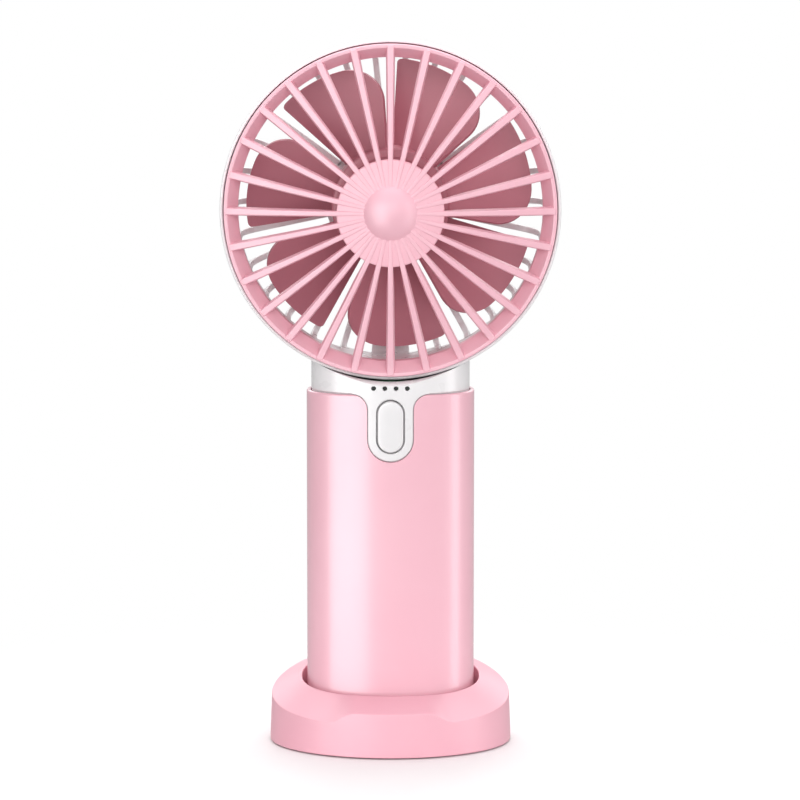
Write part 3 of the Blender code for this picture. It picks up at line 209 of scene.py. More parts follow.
def quarter(steps: int, first: int = 0) -> list[Vector]:
    """A rounded edge as shares of its radius: how far in from the side and from the face, side last."""
    turns = [math.pi / 2 * step / steps for step in range(first, steps + 1)]
    return [Vector((1 - math.sin(turn), 1 - math.cos(turn))) for turn in turns]


def draw(name: str, points: Sequence[Vector], closed: bool) -> bpy.types.Object:
    """Draws a chain of points with the extrude tool.

    Args:
        name: The piece's name.
        points: Where the chain goes.
        closed: Whether it comes back to its start.

    Returns:
        A piece with edges only.
    """
    bpy.ops.mesh.primitive_plane_add(size=MM, location=points[0])
    piece = bpy.context.active_object
    piece.name = name
    make_active(piece)
    bpy.ops.object.transform_apply(location=True, rotation=True, scale=True)
    open_edit(piece)
    bpy.ops.mesh.merge(type="CENTER")
    route = list(points) + ([points[0]] if closed else [])
    for start, end in zip(route, route[1:]):
        bpy.ops.mesh.extrude_vertices_move(TRANSFORM_OT_translate={"value": end - start})
    bpy.ops.mesh.select_all(action="SELECT")
    bpy.ops.mesh.remove_doubles(threshold=MERGE)
    close_edit()
    return piece


def spoke(axis: Vector, angle: float, radius: float, depth: float) -> Vector:
    """A point on the head, the angle in degrees clockwise from the top as the user sees it."""
    turn = math.radians(angle)
    return Vector((axis.x + radius * math.sin(turn), depth, axis.z + radius * math.cos(turn)))


def turned(name: str, profile: Sequence[Vector], axis: Vector, steps: int = ROUND, closed: bool = False,
           start: float = 0.0, sweep: float = 360.0) -> bpy.types.Object:
    """Spins a profile about the motor axis.

    Args:
        name: The piece's name.
        profile: Points of radius and depth.
        axis: A point on the motor axis.
        steps: Facets in the sweep.
        closed: Whether the profile is a closed loop.
        start: Where the sweep starts, in degrees clockwise from the top.
        sweep: How far it goes.

    Returns:
        The turned solid.
    """
    piece = draw(name, [spoke(axis, start, point.x, point.y) for point in profile], closed)
    open_edit(piece)
    bpy.ops.mesh.spin(steps=steps, dupli=False, angle=-math.radians(sweep), center=(axis.x, 0, axis.z),
                      axis=(0, 1, 0))
    bpy.ops.mesh.select_all(action="SELECT")
    bpy.ops.mesh.remove_doubles(threshold=MERGE)
    if sweep < 360:
        bpy.ops.mesh.fill_holes(sides=0)
        bpy.ops.mesh.select_all(action="SELECT")
    bpy.ops.mesh.normals_make_consistent(inside=False)
    close_edit()
    return piece


def raised(name: str, outline: Sequence[Vector], start: float, end: float) -> bpy.types.Object:
    """Fills an outline in X and Z at one depth and extrudes it to another."""
    piece = draw(name, standing(outline, start), closed=True)
    open_edit(piece)
    bpy.ops.mesh.edge_face_add()
    bpy.ops.mesh.extrude_region_move(TRANSFORM_OT_translate={"value": Vector((0, end - start, 0))})
    close_edit()
    return tidy_mesh(piece)


def lofted(name: str, rings: Sequence[Sequence[Vector]]) -> bpy.types.Object:
    """Rolls a grid up over equal rings and caps its open ends.

    Args:
        name: The piece's name.
        rings: The rings in order. Where the last is the first again, the skin closes on itself.

    Returns:
        The closed solid.
    """
    columns = len(rings[0])
    bpy.ops.mesh.primitive_grid_add(x_subdivisions=columns, y_subdivisions=len(rings) - 1, size=1)
    piece = bpy.context.active_object
    piece.name = name
    place = 0
    for ring in rings:
        for column in range(columns + 1):
            piece.data.vertices[place].co = ring[column % columns]
            place += 1
    open_edit(piece)
    bpy.ops.mesh.remove_doubles(threshold=MERGE / 2)
    bpy.ops.mesh.fill_holes(sides=0)
    close_edit()
    return tidy_mesh(piece)


def drum(name: str, radius: float, start: Vector, end: Vector, steps: int = 40) -> bpy.types.Object:
    """A round bar between two points, as a tool for booleans and bosses."""
    way = end - start
    bpy.ops.mesh.primitive_cylinder_add(vertices=steps, radius=radius, depth=way.length,
                                        location=(start + end) / 2,
                                        rotation=way.to_track_quat("Z", "Y").to_euler())
    piece = bpy.context.active_object
    piece.name = name
    make_active(piece)
    bpy.ops.object.transform_apply(location=True, rotation=True, scale=True)
    return piece


def block(name: str, low: Vector, high: Vector) -> bpy.types.Object:
    """A box between two corners, as a tool for booleans."""
    bpy.ops.mesh.primitive_cube_add(size=1, location=(low + high) / 2, scale=high - low)
    piece = bpy.context.active_object
    piece.name = name
    make_active(piece)
    bpy.ops.object.transform_apply(location=True, rotation=True, scale=True)
    return piece


def work(piece: bpy.types.Object, way: Boolean, *tools: bpy.types.Object) -> bpy.types.Object:
    """Applies each tool to a piece and removes the tool."""
    for tool in tools:
        apply_modifier(piece, "BOOLEAN", operation=way.value, solver="EXACT", object=tool)
        bpy.data.objects.remove(tool, do_unlink=True)
    return piece


def split_off(piece: bpy.types.Object, place: Vector, normal: Vector) -> bpy.types.Object:
    """Cuts away what lies on the normal's side of a plane and closes the cut."""
    open_edit(piece)
    bpy.ops.mesh.bisect(plane_co=place, plane_no=normal, use_fill=True, clear_outer=True)
    close_edit()
    return tidy_mesh(piece)


def copies(piece: bpy.types.Object, turns: Sequence[Matrix]) -> bpy.types.Object:
    """Joins turned copies of a piece to it, each from its own mesh.

    Args:
        piece: The piece in its first place.
        turns: One transform for each copy.

    Returns:
        The piece with all of its copies.
    """
    made = []
    for turn in turns:
        other = piece.copy()
        other.data = piece.data.copy()
        other.data.transform(turn)
        bpy.context.scene.collection.objects.link(other)
        made.append(other)
    make_active(piece)
    for other in made:
        other.select_set(True)
    bpy.ops.object.join()
    return piece


def about_axis(axis: Vector, angle: float) -> Matrix:
    """A turn about the motor axis, in degrees clockwise as the user sees it."""
    place = Matrix.Translation(Vector((axis.x, 0, axis.z)))
    return place @ Matrix.Rotation(math.radians(angle), 4, "Y") @ place.inverted()


def finish(piece: bpy.types.Object, name: str, body: str, material: bpy.types.Material,
           node: str) -> None:
    """Shades a piece, dresses it and puts it on its body.

    Args:
        piece: The finished mesh.
        name: Its name.
        body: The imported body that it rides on.
        material: What it is made of.
        node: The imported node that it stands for.
    """
    piece.name = name
    piece.data.name = name
    make_active(piece)
    bpy.ops.object.shade_smooth_by_angle(angle=SHARP_ANGLE)
    apply_modifier(piece, "WEIGHTED_NORMAL", keep_sharp=True, weight=FLAT_WEIGHT)
    piece.data.materials.clear()
    piece.data.materials.append(material)
    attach(piece, body)
    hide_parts(node)
    log.info("%s: %d faces on %s", name, len(piece.data.polygons), body)


# ---------------------------------------------------------------- finishes

def linear(colour: str) -> tuple[float, float, float, float]:
    """Linear red, green, blue and alpha of an sRGB hex colour."""
    values = [int(colour[place:place + 2], 16) / 255 for place in (1, 3, 5)]
    turned_linear = [v / 12.92 if v <= 0.04045 else ((v + 0.055) / 1.055) ** 2.4 for v in values]
    return (*turned_linear, 1.0)


def add_node(material: bpy.types.Material, kind: str, settings: dict[str, object],
             links: dict[str, bpy.types.NodeSocket]) -> bpy.types.Node:
    """Adds a node with its settings and what feeds it.

    Args:
        material: The material that gets the node.
        kind: Blender's name for the node type.
        settings: Values by socket name, or by the node's own property.
        links: The output that feeds each named input.

    Returns:
        The new node.
    """
    node = material.node_tree.nodes.new(kind)
    for key, value in settings.items():
        if hasattr(node, key):
            setattr(node, key, value)
        else:
            node.inputs[key].default_value = value
    for key, output in links.items():
        material.node_tree.links.new(output, node.inputs[key])
    return node


def new_material(name: str) -> tuple[bpy.types.Material, bpy.types.Node, bpy.types.NodeSocket]:
    """A material with its shader and the piece's own coordinates."""
    material = bpy.data.materials.new(name)
    material.use_nodes = True
    shader = material.node_tree.nodes["Principled BSDF"]
    place = add_node(material, "ShaderNodeTexCoord", {}, {})
    return material, shader, place.outputs["Object"]


def shaded(colour: str, *factors: float) -> tuple[float, float, float, float]:
    """A hex colour made darker by a factor for all channels or one for each."""
    red, green, blue, alpha = linear(colour)
    first, second, third = factors if len(factors) == 3 else factors * 3
    return (red * first, green * second, blue * third, alpha)


def add_noise(material: bpy.types.Material, place: bpy.types.NodeSocket, size: float, detail: float,
              roughness: float = 0.5) -> bpy.types.NodeSocket:
    """Cloudy noise whose clouds have a size in metres."""
    noise = add_node(material, "ShaderNodeTexNoise",
                     {"Scale": 1 / size, "Detail": detail, "Roughness": roughness}, {"Vector": place})
    return noise.outputs["Fac"]


def add_tint(material: bpy.types.Material, pattern: bpy.types.NodeSocket, low: Sequence[float],
             high: Sequence[float], start: float = 0.0, end: float = 1.0) -> None:
    """Gives the surface two colours that a pattern mixes."""
    tint = add_node(material, "ShaderNodeValToRGB", {}, {"Fac": pattern})
    for stop, position, colour in zip(tint.color_ramp.elements, (start, end), (low, high)):
        stop.position = position
        stop.color = colour
    shader = material.node_tree.nodes["Principled BSDF"]
    material.node_tree.links.new(tint.outputs["Color"], shader.inputs["Base Color"])


def add_gloss(material: bpy.types.Material, pattern: bpy.types.NodeSocket, low: float, high: float) -> None:
    """Lets a pattern vary the roughness between two values."""
    gloss = add_node(material, "ShaderNodeMapRange", {"To Min": low, "To Max": high}, {"Value": pattern})
    shader = material.node_tree.nodes["Principled BSDF"]
    material.node_tree.links.new(gloss.outputs["Result"], shader.inputs["Roughness"])


def add_relief(material: bpy.types.Material, pattern: bpy.types.NodeSocket, strength: float,
               height: float) -> None:
    """Raises the surface by a pattern."""
    bump = add_node(material, "ShaderNodeBump", {"Strength": strength, "Distance": height},
                    {"Height": pattern})
    shader = material.node_tree.nodes["Principled BSDF"]
    material.node_tree.links.new(bump.outputs["Normal"], shader.inputs["Normal"])


@dataclass(frozen=True)
class MouldedPlastic:
    """Injection-moulded ABS: a satin skin with fine tool texture and a faint drift in its tint."""

    name: str
    colour: str
    shade: str                      # what the tint drifts to
    roughness: float = 0.38
    drift: float = 22 * MM          # size of the soft clouds in the tint
    grain: float = 0.45 * MM        # spark texture is nearer 0.1 mm, drawn coarser so that it shows
    relief: float = 0.012 * MM
    flow: float = 6 * MM            # slow waves that the mould leaves in the gloss
    waver: float = 0.03
    coat: float = 0.0

    def build(self) -> bpy.types.Material:
        """The material."""
        material, shader, place = new_material(self.name)
        cloud = add_noise(material, place, self.drift, 3.0)
        add_tint(material, cloud, linear(self.shade), linear(self.colour), 0.3, 0.7)
        wave = add_noise(material, place, self.flow, 2.0)
        add_gloss(material, wave, self.roughness - self.waver, self.roughness + self.waver)
        add_relief(material, add_noise(material, place, self.grain, 2.0, 0.6), 0.35, self.relief)
        shader.inputs["IOR"].default_value = 1.53
        shader.inputs["Coat Weight"].default_value = self.coat
        shader.inputs["Coat Roughness"].default_value = 0.2
        return material


@dataclass(frozen=True)
class TurnedMetal:
    """Rolled or turned metal: fine lines across the grain break the reflection up."""

    name: str
    colour: str
    roughness: float = 0.3
    line: float = 0.35 * MM         # tool lines, drawn coarser than the real 0.05 mm
    stretch: tuple[float, float, float] = (1.0, 8.0, 1.0)
    relief: float = 0.01 * MM
    waver: float = 0.08

    def build(self) -> bpy.types.Material:
        """The material."""
        material, shader, place = new_material(self.name)
        grain = add_node(material, "ShaderNodeMapping", {"Scale": self.stretch}, {"Vector": place})
        lines = add_noise(material, grain.outputs["Vector"], self.line, 3.0)
        add_tint(material, lines, shaded(self.colour, 0.8), linear(self.colour))
        add_gloss(material, lines, self.roughness - self.waver, self.roughness + self.waver)
        add_relief(material, lines, 0.4, self.relief)
        shader.inputs["Metallic"].default_value = 1.0
        return material


@dataclass(frozen=True)
class WoundWire:
    """Enamelled copper wire wound in layers: rows of small round ridges with a clear coat, with painted shade
    in the grooves between them.
    """

    name: str
    colour: str
    wire: float = 0.35 * MM

    def build(self) -> bpy.types.Material:
        """The material."""
        material, shader, place = new_material(self.name)
        rows = add_node(material, "ShaderNodeTexWave",
                        {"wave_type": "BANDS", "bands_direction": "Z", "wave_profile": "SIN",
                         "Scale": 1 / (self.wire * 20), "Distortion": 0.6, "Detail": 1.0}, {"Vector": place})
        # The grooves between the turns are painted dark as shade, and the ridges keep the copper colour.
        add_tint(material, rows.outputs["Fac"], shaded(self.colour, 0.35, 0.3, 0.3), linear(self.colour))
        add_relief(material, rows.outputs["Fac"], 0.8, self.wire / 2)
        shader.inputs["Metallic"].default_value = 0.9
        shader.inputs["Roughness"].default_value = 0.3
        shader.inputs["Coat Weight"].default_value = 0.5
        return material


@dataclass(frozen=True)
class CircuitBoard:
    """Glass-epoxy board under solder mask: faint copper tracks show through the lacquer."""

    name: str
    colour: str
    track: float = 1.6 * MM
    copper: float = 0.03 * MM

    def build(self) -> bpy.types.Material:
        """The material."""
        material, shader, place = new_material(self.name)
        tracks = add_node(material, "ShaderNodeTexBrick",
                          {"Scale": 1 / (self.track * 4), "Mortar Size": 0.03, "Color1": linear(self.colour),
                           "Color2": linear("#0d5a34"), "Mortar": linear("#2f8f57")}, {"Vector": place})
        material.node_tree.links.new(tracks.outputs["Color"], shader.inputs["Base Color"])
        add_relief(material, tracks.outputs["Fac"], 0.4, self.copper)
        shader.inputs["Roughness"].default_value = 0.35
        shader.inputs["Coat Weight"].default_value = 0.4
        return material


@dataclass(frozen=True)
class ClearPlastic:
    """Moulded polycarbonate: clear, with a few faint flow lines."""

    name: str
    colour: str
    roughness: float = 0.15
    transmission: float = 0.9
    flow: float = 2 * MM

    def build(self) -> bpy.types.Material:
        """The material."""
        material, shader, place = new_material(self.name)
        add_gloss(material, add_noise(material, place, self.flow, 2.0), self.roughness, self.roughness + 0.1)
        shader.inputs["Base Color"].default_value = linear(self.colour)
        shader.inputs["IOR"].default_value = 1.58
        shader.inputs["Transmission Weight"].default_value = self.transmission
        return material


@dataclass(frozen=True)
class Rubber:
    """Moulded silicone rubber: dull, with a fine pebble that grips."""

    name: str
    colour: str
    pebble: float = 0.7 * MM
    grip: float = 0.06 * MM

    def build(self) -> bpy.types.Material:
        """The material."""
        material, shader, place = new_material(self.name)
        cells = add_node(material, "ShaderNodeTexVoronoi", {"Scale": 1 / self.pebble}, {"Vector": place})
        add_tint(material, cells.outputs["Distance"], linear(self.colour), shaded(self.colour, 0.7))
        add_relief(material, cells.outputs["Distance"], 0.5, self.grip)
        shader.inputs["Roughness"].default_value = 0.75
        shader.inputs["IOR"].default_value = 1.41
        return material


class Finishes:
    """Every finish of the fan, built once."""

    def __init__(self) -> None:
        """Builds the materials."""
        pink, pink_shade = "#f4bdca", "#f2b8c6"
        self.grille = MouldedPlastic("pink_abs_satin_moulded", pink, pink_shade, 0.42).build()
        self.sleeve = MouldedPlastic("pink_abs_silk_moulded", pink, pink_shade, 0.36, drift=30 * MM,
                                     relief=0.006 * MM, coat=0.5).build()
        self.dock = MouldedPlastic("pink_abs_dock_moulded", "#eeb2c0", "#ecadbc", 0.42).build()
        self.plate = MouldedPlastic("pink_abs_matt_moulded", "#f0a9b9", "#eba2b3", 0.55,
                                    relief=0.03 * MM).build()
        self.white = MouldedPlastic("white_abs_gloss_moulded", "#efedee", "#eae8e9", 0.28,
                                    relief=0.005 * MM).build()
        self.button = MouldedPlastic("white_abs_button_moulded", "#eceaeb", "#e8e6e7", 0.3,
                                     relief=0.004 * MM).build()
        self.impeller = MouldedPlastic("rose_abs_semi_matt_moulded", "#bb7582", "#b66f7d", 0.5).build()
        self.wrap = MouldedPlastic("blue_pvc_heat_shrunk", "#3f74b8", "#3a6bab", 0.3, relief=0.02 * MM,
                                   coat=0.3).build()
        self.dark = MouldedPlastic("black_nylon_moulded", "#1c1c1f", "#242428", 0.5).build()
        self.white_lead = MouldedPlastic("white_pvc_extruded", "#e8e6e2", "#dedcd8", 0.4).build()
        self.red_lead = MouldedPlastic("red_pvc_extruded", "#b3202a", "#a51b25", 0.4).build()
        self.steel = TurnedMetal("zinc_plated_steel_headed", "#c9cbd0", 0.28).build()
        self.motor_steel = TurnedMetal("deep_drawn_steel", "#b9bbbf", 0.33).build()
        self.nickel = TurnedMetal("nickel_strip_rolled", "#d2cdc2", 0.25, stretch=(8.0, 1.0, 1.0)).build()
        self.bronze = TurnedMetal("bronze_sintered", "#b0804c", 0.45, 0.2 * MM, (1.0, 1.0, 1.0)).build()
        self.magnet = TurnedMetal("ferrite_sintered", "#3a3a3d", 0.6, 0.25 * MM, (1.0, 1.0, 1.0)).build()
        self.copper = WoundWire("enamelled_copper_wound", "#d07a3e").build()
        self.board = CircuitBoard("glass_epoxy_lacquered", "#0f6b3d").build()
        # The light pipe's near-black colour is painted shade: it makes the lamp holes in front of it read
        # dark.
        self.light_pipe = ClearPlastic("polycarbonate_painted_hole_shade", "#0a0a0b", 0.3, 0.2).build()
        self.lamp = ClearPlastic("epoxy_lens_cast", "#f3efe0", 0.2, 0.6).build()
        self.pad = Rubber("grey_silicone_moulded", "#4a4547").build()


# ---------------------------------------------------------------- head

@dataclass
class FrontGrille:
    """Pink grille: one moulding of ring, domed ribs and the middle disc with its boss."""

    finishes: Finishes
    axis: Vector
    ring_depth: float = 8.2 * MM
    ring_width: float = 4.1 * MM
    lip: float = 1.1 * MM
    bevel: float = 4.8 * MM
    rib_count: int = 28
    rib_outer: float = 2.2 * MM
    rib_inner: float = 1.5 * MM
    rib_root: float = 1.05 * MM
    rib_thickness: float = 2.4 * MM
    rib_proud: float = 0.5 * MM
    rib_faint: float = 0.16 * MM
    rib_edge: float = 0.28 * MM
    rib_flare: float = 0.3 * MM
    rib_flare_run: float = 6 * MM
    rib_sink: float = 0.3 * MM      # how far a rib runs into the boss
    rib_end: float = 0.45 * MM      # what it stops short of the ring's outside
    rib_dome_start: float = 1 * MM  # inside the disc's edge
    rib_dome_end: float = 2.2 * MM  # inside the ring's outside
    rib_bow: float = 1.6
    rib_stations: int = 30
    disc_radius: float = 15.8 * MM
    disc_thickness: float = 2.0 * MM
    cone: float = 0.9 * MM
    boss_radius: float = 7.9 * MM
    boss_rise: float = 3.9 * MM

    def __post_init__(self) -> None:
        """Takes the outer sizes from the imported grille."""
        extent = Extent.of("front_grille")
        self.radius = extent.half.x
        self.back = extent.high.y
        self.ring_front = self.back - self.ring_depth
        self.disc_front = extent.low.y + self.boss_rise + self.cone

    def ring(self) -> bpy.types.Object:
        """The outer ring with its flat lip and the bevel inside it."""
        inner = self.radius - self.ring_width
        corners = [
            Vector((self.radius, self.back)),
            Vector((self.radius, self.ring_front)),
            Vector((self.radius - self.lip, self.ring_front)),
            Vector((inner, self.ring_front + self.bevel)),
            Vector((inner, self.back)),
        ]
        radii = (0.0, 0.4 * MM, 0.3 * MM, 0.5 * MM, 0.0)
        return turned("front_grille", soften(corners, radii), self.axis, closed=True)

    def disc(self) -> bpy.types.Object:
        """The middle disc and the round boss on it."""
        back = self.disc_front + self.disc_thickness
        foot = self.disc_front - self.cone
        sphere = (self.boss_radius ** 2 + self.boss_rise ** 2) / (2 * self.boss_rise)
        middle = Vector((0, foot + sphere - self.boss_rise))
        rim = math.degrees(math.asin(self.boss_radius / sphere))
        cap = arc(middle, sphere, rim - 90, -90, 14)
        cap[-1].x = 0.0
        corners = [
            Vector((0, back)),
            Vector((self.disc_radius, back)),
            Vector((self.disc_radius, self.disc_front)),
            cap[0],
            cap[1],
        ]
        edge = soften(corners, (0, 0.5 * MM, 0.5 * MM, 0.9 * MM, 0), closed=False)
        return turned("grille_disc", edge + cap[2:], self.axis)

    def rib_front(self, radius: float) -> float:
        """Depth of a rib's front face at a radius."""
        start = self.disc_radius - self.rib_dome_start
        end = self.radius - self.rib_dome_end
        rise = self.cone * (self.disc_radius - min(radius, start)) / (self.disc_radius - self.boss_radius)
        near = min(max((radius - self.boss_radius) / (start - self.boss_radius), 0.0), 1.0)
        proud = self.rib_faint + (self.rib_proud - self.rib_faint) * near
        on_disc = self.disc_front - rise - proud
        share = min(max((radius - start) / (end - start), 0.0), 1.0)
        return on_disc + (self.ring_front - self.rib_proud - on_disc) * share ** self.rib_bow

    def rib_width(self, radius: float) -> float:
        """Width of a rib at a radius."""
        if radius < self.disc_radius:
            share = (radius - self.boss_radius) / (self.disc_radius - self.boss_radius)
            return self.rib_root + (self.rib_inner - self.rib_root) * max(share, 0.0)
        share = (radius - self.disc_radius) / (self.radius - self.disc_radius)
        return self.rib_inner + (self.rib_outer - self.rib_inner) * share

    def ribs(self) -> bpy.types.Object:
        """One rib lofted along its dome to a tucked-in end, and its copies round the head."""
        start = self.boss_radius - self.rib_sink
        end = self.radius - self.rib_end
        run = end - 0.4 * MM - start
        stations = [(start + run * i / self.rib_stations, 0.0) for i in range(self.rib_stations + 1)]
        stations += [(end - 0.12 * MM, 0.1 * MM), (end, 0.45 * MM)]
        rings = []
        for reach, tuck in stations:
            front = self.rib_front(reach) + tuck
            half = self.rib_width(reach) / 2 - tuck * 0.5
            back = front + self.rib_thickness - tuck
            flare = self.rib_flare * min(max((reach - self.disc_radius) / self.rib_flare_run, 0.0), 1.0)
            near, far = half - flare / 2, half + flare
            corners = [Vector((-near, front)), Vector((near, front)),
                       Vector((far, back)), Vector((-far, back))]
            section = soften(corners, (self.rib_edge,) * 2 + (self.rib_edge / 2,) * 2, 3)
            rings.append([Vector((self.axis.x + p.x, p.y, self.axis.z + reach)) for p in section])
        rib = lofted("rib", rings)
        turns = [about_axis(self.axis, 360 / self.rib_count * i) for i in range(1, self.rib_count)]
        return copies(rib, turns)

    def build(self) -> None:
        """Makes the grille."""
        grille = work(self.ring(), Boolean.ADD, self.ribs(), self.disc())
        finish(grille, "grille_moulding", "fan_body", self.finishes.grille, "front_grille")


@dataclass
class Impeller:
    """Seven helical blades on a round hub, one moulding."""

    finishes: Finishes
    axis: Vector
    blade_count: int = 7
    span: float = 45.0              # degrees from front edge to back edge
    phase: float = 3.0
    blade_front: float = 0.7 * MM   # behind the hub's face
    blade_rear: float = 0.6 * MM    # in front of the hub's rim
    thickness: float = 1.2 * MM
    edge: float = 0.35 * MM
    edge_angle: float = 60.0        # edges sharper than this are rounded
    tip_radius: float = 43.2 * MM
    tip_drop: float = 2.0 * MM
    corner: float = 10.0 * MM       # how much the front corner of the tip is rounded off
    corner_start: float = 0.62      # share of the span where that starts
    back_corner: float = 1.2 * MM
    back_corner_share: float = 0.045
    hub_radius: float = 17.5 * MM
    hub_wall: float = 1.9 * MM
    dish: float = 0.35 * MM
    dish_edge: float = 2.6 * MM     # inside the hub's edge
    dish_foot: float = 3.2 * MM
    columns: int = 30
    rows: int = 12

    def __post_init__(self) -> None:
        """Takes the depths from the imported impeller."""
        extent = Extent.of("impeller")
        self.front = extent.low.y
        self.rear = extent.high.y

    def hub(self) -> bpy.types.Object:
        """The hub: a cup with a rounded front edge and a shallow dish in its face."""
        inner = self.hub_radius - self.hub_wall
        corners = [
            Vector((0, self.front + self.hub_wall)),
            Vector((inner, self.front + self.hub_wall)),
            Vector((inner, self.rear)),
            Vector((self.hub_radius, self.rear)),
            Vector((self.hub_radius, self.front)),
            Vector((self.hub_radius - self.dish_edge, self.front)),
            Vector((self.hub_radius - self.dish_foot, self.front + self.dish)),
            Vector((0, self.front + self.dish)),
        ]
        radii = (0, 0.5 * MM, 0.2 * MM, 0.3 * MM, 1.3 * MM, 0.3 * MM, 0.3 * MM, 0)
        return turned("impeller_hub", soften(corners, radii, 5, closed=False), self.axis)

    def blade_top(self, share: float) -> float:
        """Tip radius along the span, from the back edge (0) to the front edge (1)."""
        late = max(0.0, (share - self.corner_start) / (1 - self.corner_start))
        corner = self.corner * (1 - math.sqrt(max(0.0, 1 - late * late)))
        early = max(0.0, 1 - share / self.back_corner_share)
        corner += self.back_corner * (1 - math.sqrt(max(0.0, 1 - early * early)))
        return self.tip_radius - self.tip_drop * share ** 2 - corner

    def blades(self) -> bpy.types.Object:
        """One blade from a grid laid on its helix, given its thickness, and its copies."""
        bpy.ops.mesh.primitive_grid_add(x_subdivisions=self.rows, y_subdivisions=self.columns, size=1)
        blade = bpy.context.active_object
        half = self.thickness / 2
        near = self.front + self.blade_front + half
        far = self.rear - self.blade_rear - half
        root = self.hub_radius - self.hub_wall * 0.5
        place = 0
        for column in range(self.columns + 1):
            even = column / self.columns
            share = (1 - math.cos(even * math.pi)) / 2
            top = self.blade_top(share)
            for row in range(self.rows + 1):
                radius = root + (top - root) * row / self.rows
                depth = far + (near - far) * share
                angle = self.phase + self.span * share
                blade.data.vertices[place].co = spoke(self.axis, angle, radius, depth)
                place += 1
        tidy_mesh(blade)
        apply_modifier(blade, "SOLIDIFY", thickness=self.thickness, offset=0.0)
        apply_modifier(blade, "BEVEL", width=self.edge, segments=3, limit_method="ANGLE",
                       angle_limit=math.radians(self.edge_angle))
        turns = [about_axis(self.axis, 360 / self.blade_count * i) for i in range(1, self.blade_count)]
        return copies(blade, turns)

    def build(self) -> None:
        """Makes the impeller."""
        piece = work(self.hub(), Boolean.ADD, self.blades())
        finish(piece, "impeller_moulding", "rotor", self.finishes.impeller, "impeller")


@dataclass
class BodyShell:
    """What the two white halves share: the inner body, its cavity, the neck and the screw bosses."""

    sleeve: Extent
    axis: Vector
    neck_half_width: float = 23.6 * MM
    neck_edge: float = 0.35 * MM
    neck_sink: float = 1 * MM       # how far the inner body runs up into the neck
    neck_drop: float = 25 * MM      # from the motor axis to the neck's hidden top
    face_inset: float = 0.3 * MM
    sleeve_wall: float = 1.2 * MM
    body_wall: float = 1.5 * MM
    boss_radius: float = 2.7 * MM
    screw_radius: float = 1.0 * MM
    screw_head_radius: float = 1.9 * MM
    screw_head_height: float = 1.2 * MM
    through: float = 20 * MM        # beyond the body's front and back
    plug: float = 3.0 * MM

    def __post_init__(self) -> None:
        """Works the nested ovals out from the sleeve."""
        self.bottom = self.sleeve.low.z
        self.seam = self.sleeve.high.z
        self.half_width = self.sleeve.half.x - self.sleeve_wall - GAP
        self.half_depth = self.sleeve.half.y - self.sleeve_wall - GAP
        self.neck_half_depth = self.sleeve.half.y - self.face_inset
        self.neck_top = self.axis.z - self.neck_drop

    def upright(self, name: str, half_width: float, half_depth: float, low: float, high: float,
                edge: float = 0.0) -> bpy.types.Object:
        """An upright oval solid, its lower edge rounded if asked."""
        rings = []
        if edge:
            for turn in quarter(3)[:-1]:
                inset = edge * turn.x
                rings.append(level(half_width - inset, half_depth - inset, low + edge * turn.y))
        rings += [level(half_width, half_depth, height) for height in (low + edge, high)]
        return lofted(name, rings)

    def screws(self) -> list[Extent]:
        """Where the four body screws stand."""
        names = [f"body_screw_{row}_{side}" for row in ("lower", "upper") for side in ("left", "right")]
        return [Extent.of(name) for name in names]

    def half(self, name: str, side: int) -> bpy.types.Object:
        """One half of the inner body and neck, flat where the halves meet. Side is -1 for the front."""
        piece = self.upright(name, self.half_width, self.half_depth, self.bottom, self.seam + self.neck_sink)
        neck = self.upright("neck", self.neck_half_width, self.neck_half_depth, self.seam + GAP,
                            self.neck_top, self.neck_edge)
        work(piece, Boolean.ADD, neck)
        return split_off(piece, Vector((0, side * GAP / 2, 0)), Vector((0, -side, 0)))

    def cavity(self) -> bpy.types.Object:
        """The hollow through both halves, less the screw bosses."""
        hollow = self.upright("cavity", self.half_width - self.body_wall, self.half_depth - self.body_wall,
                              self.bottom - self.plug, self.axis.z)
        for screw in self.screws():
            x, z = screw.middle.x, screw.middle.z
            boss = drum("boss", self.boss_radius, Vector((x, -self.through, z)), Vector((x, self.through, z)))
            work(hollow, Boolean.CUT, boss)
        return hollow

    def screw_holes(self, front: bool) -> list[bpy.types.Object]:
        """Cutters for the screws: blind shank holes in front, stepped wells behind."""
        cutters = []
        for screw in self.screws():
            x, z = screw.middle.x, screw.middle.z
            far = Vector((x, self.through, z))
            near = Vector((x, screw.low.y - GAP, z))
            cutters.append(drum("shank", self.screw_radius + GAP / 2, near, far, 24))
            if not front:
                seat = Vector((x, screw.high.y - self.screw_head_height - GAP, z))
                cutters.append(drum("well", self.screw_head_radius + GAP, seat, far, 32))
        return cutters


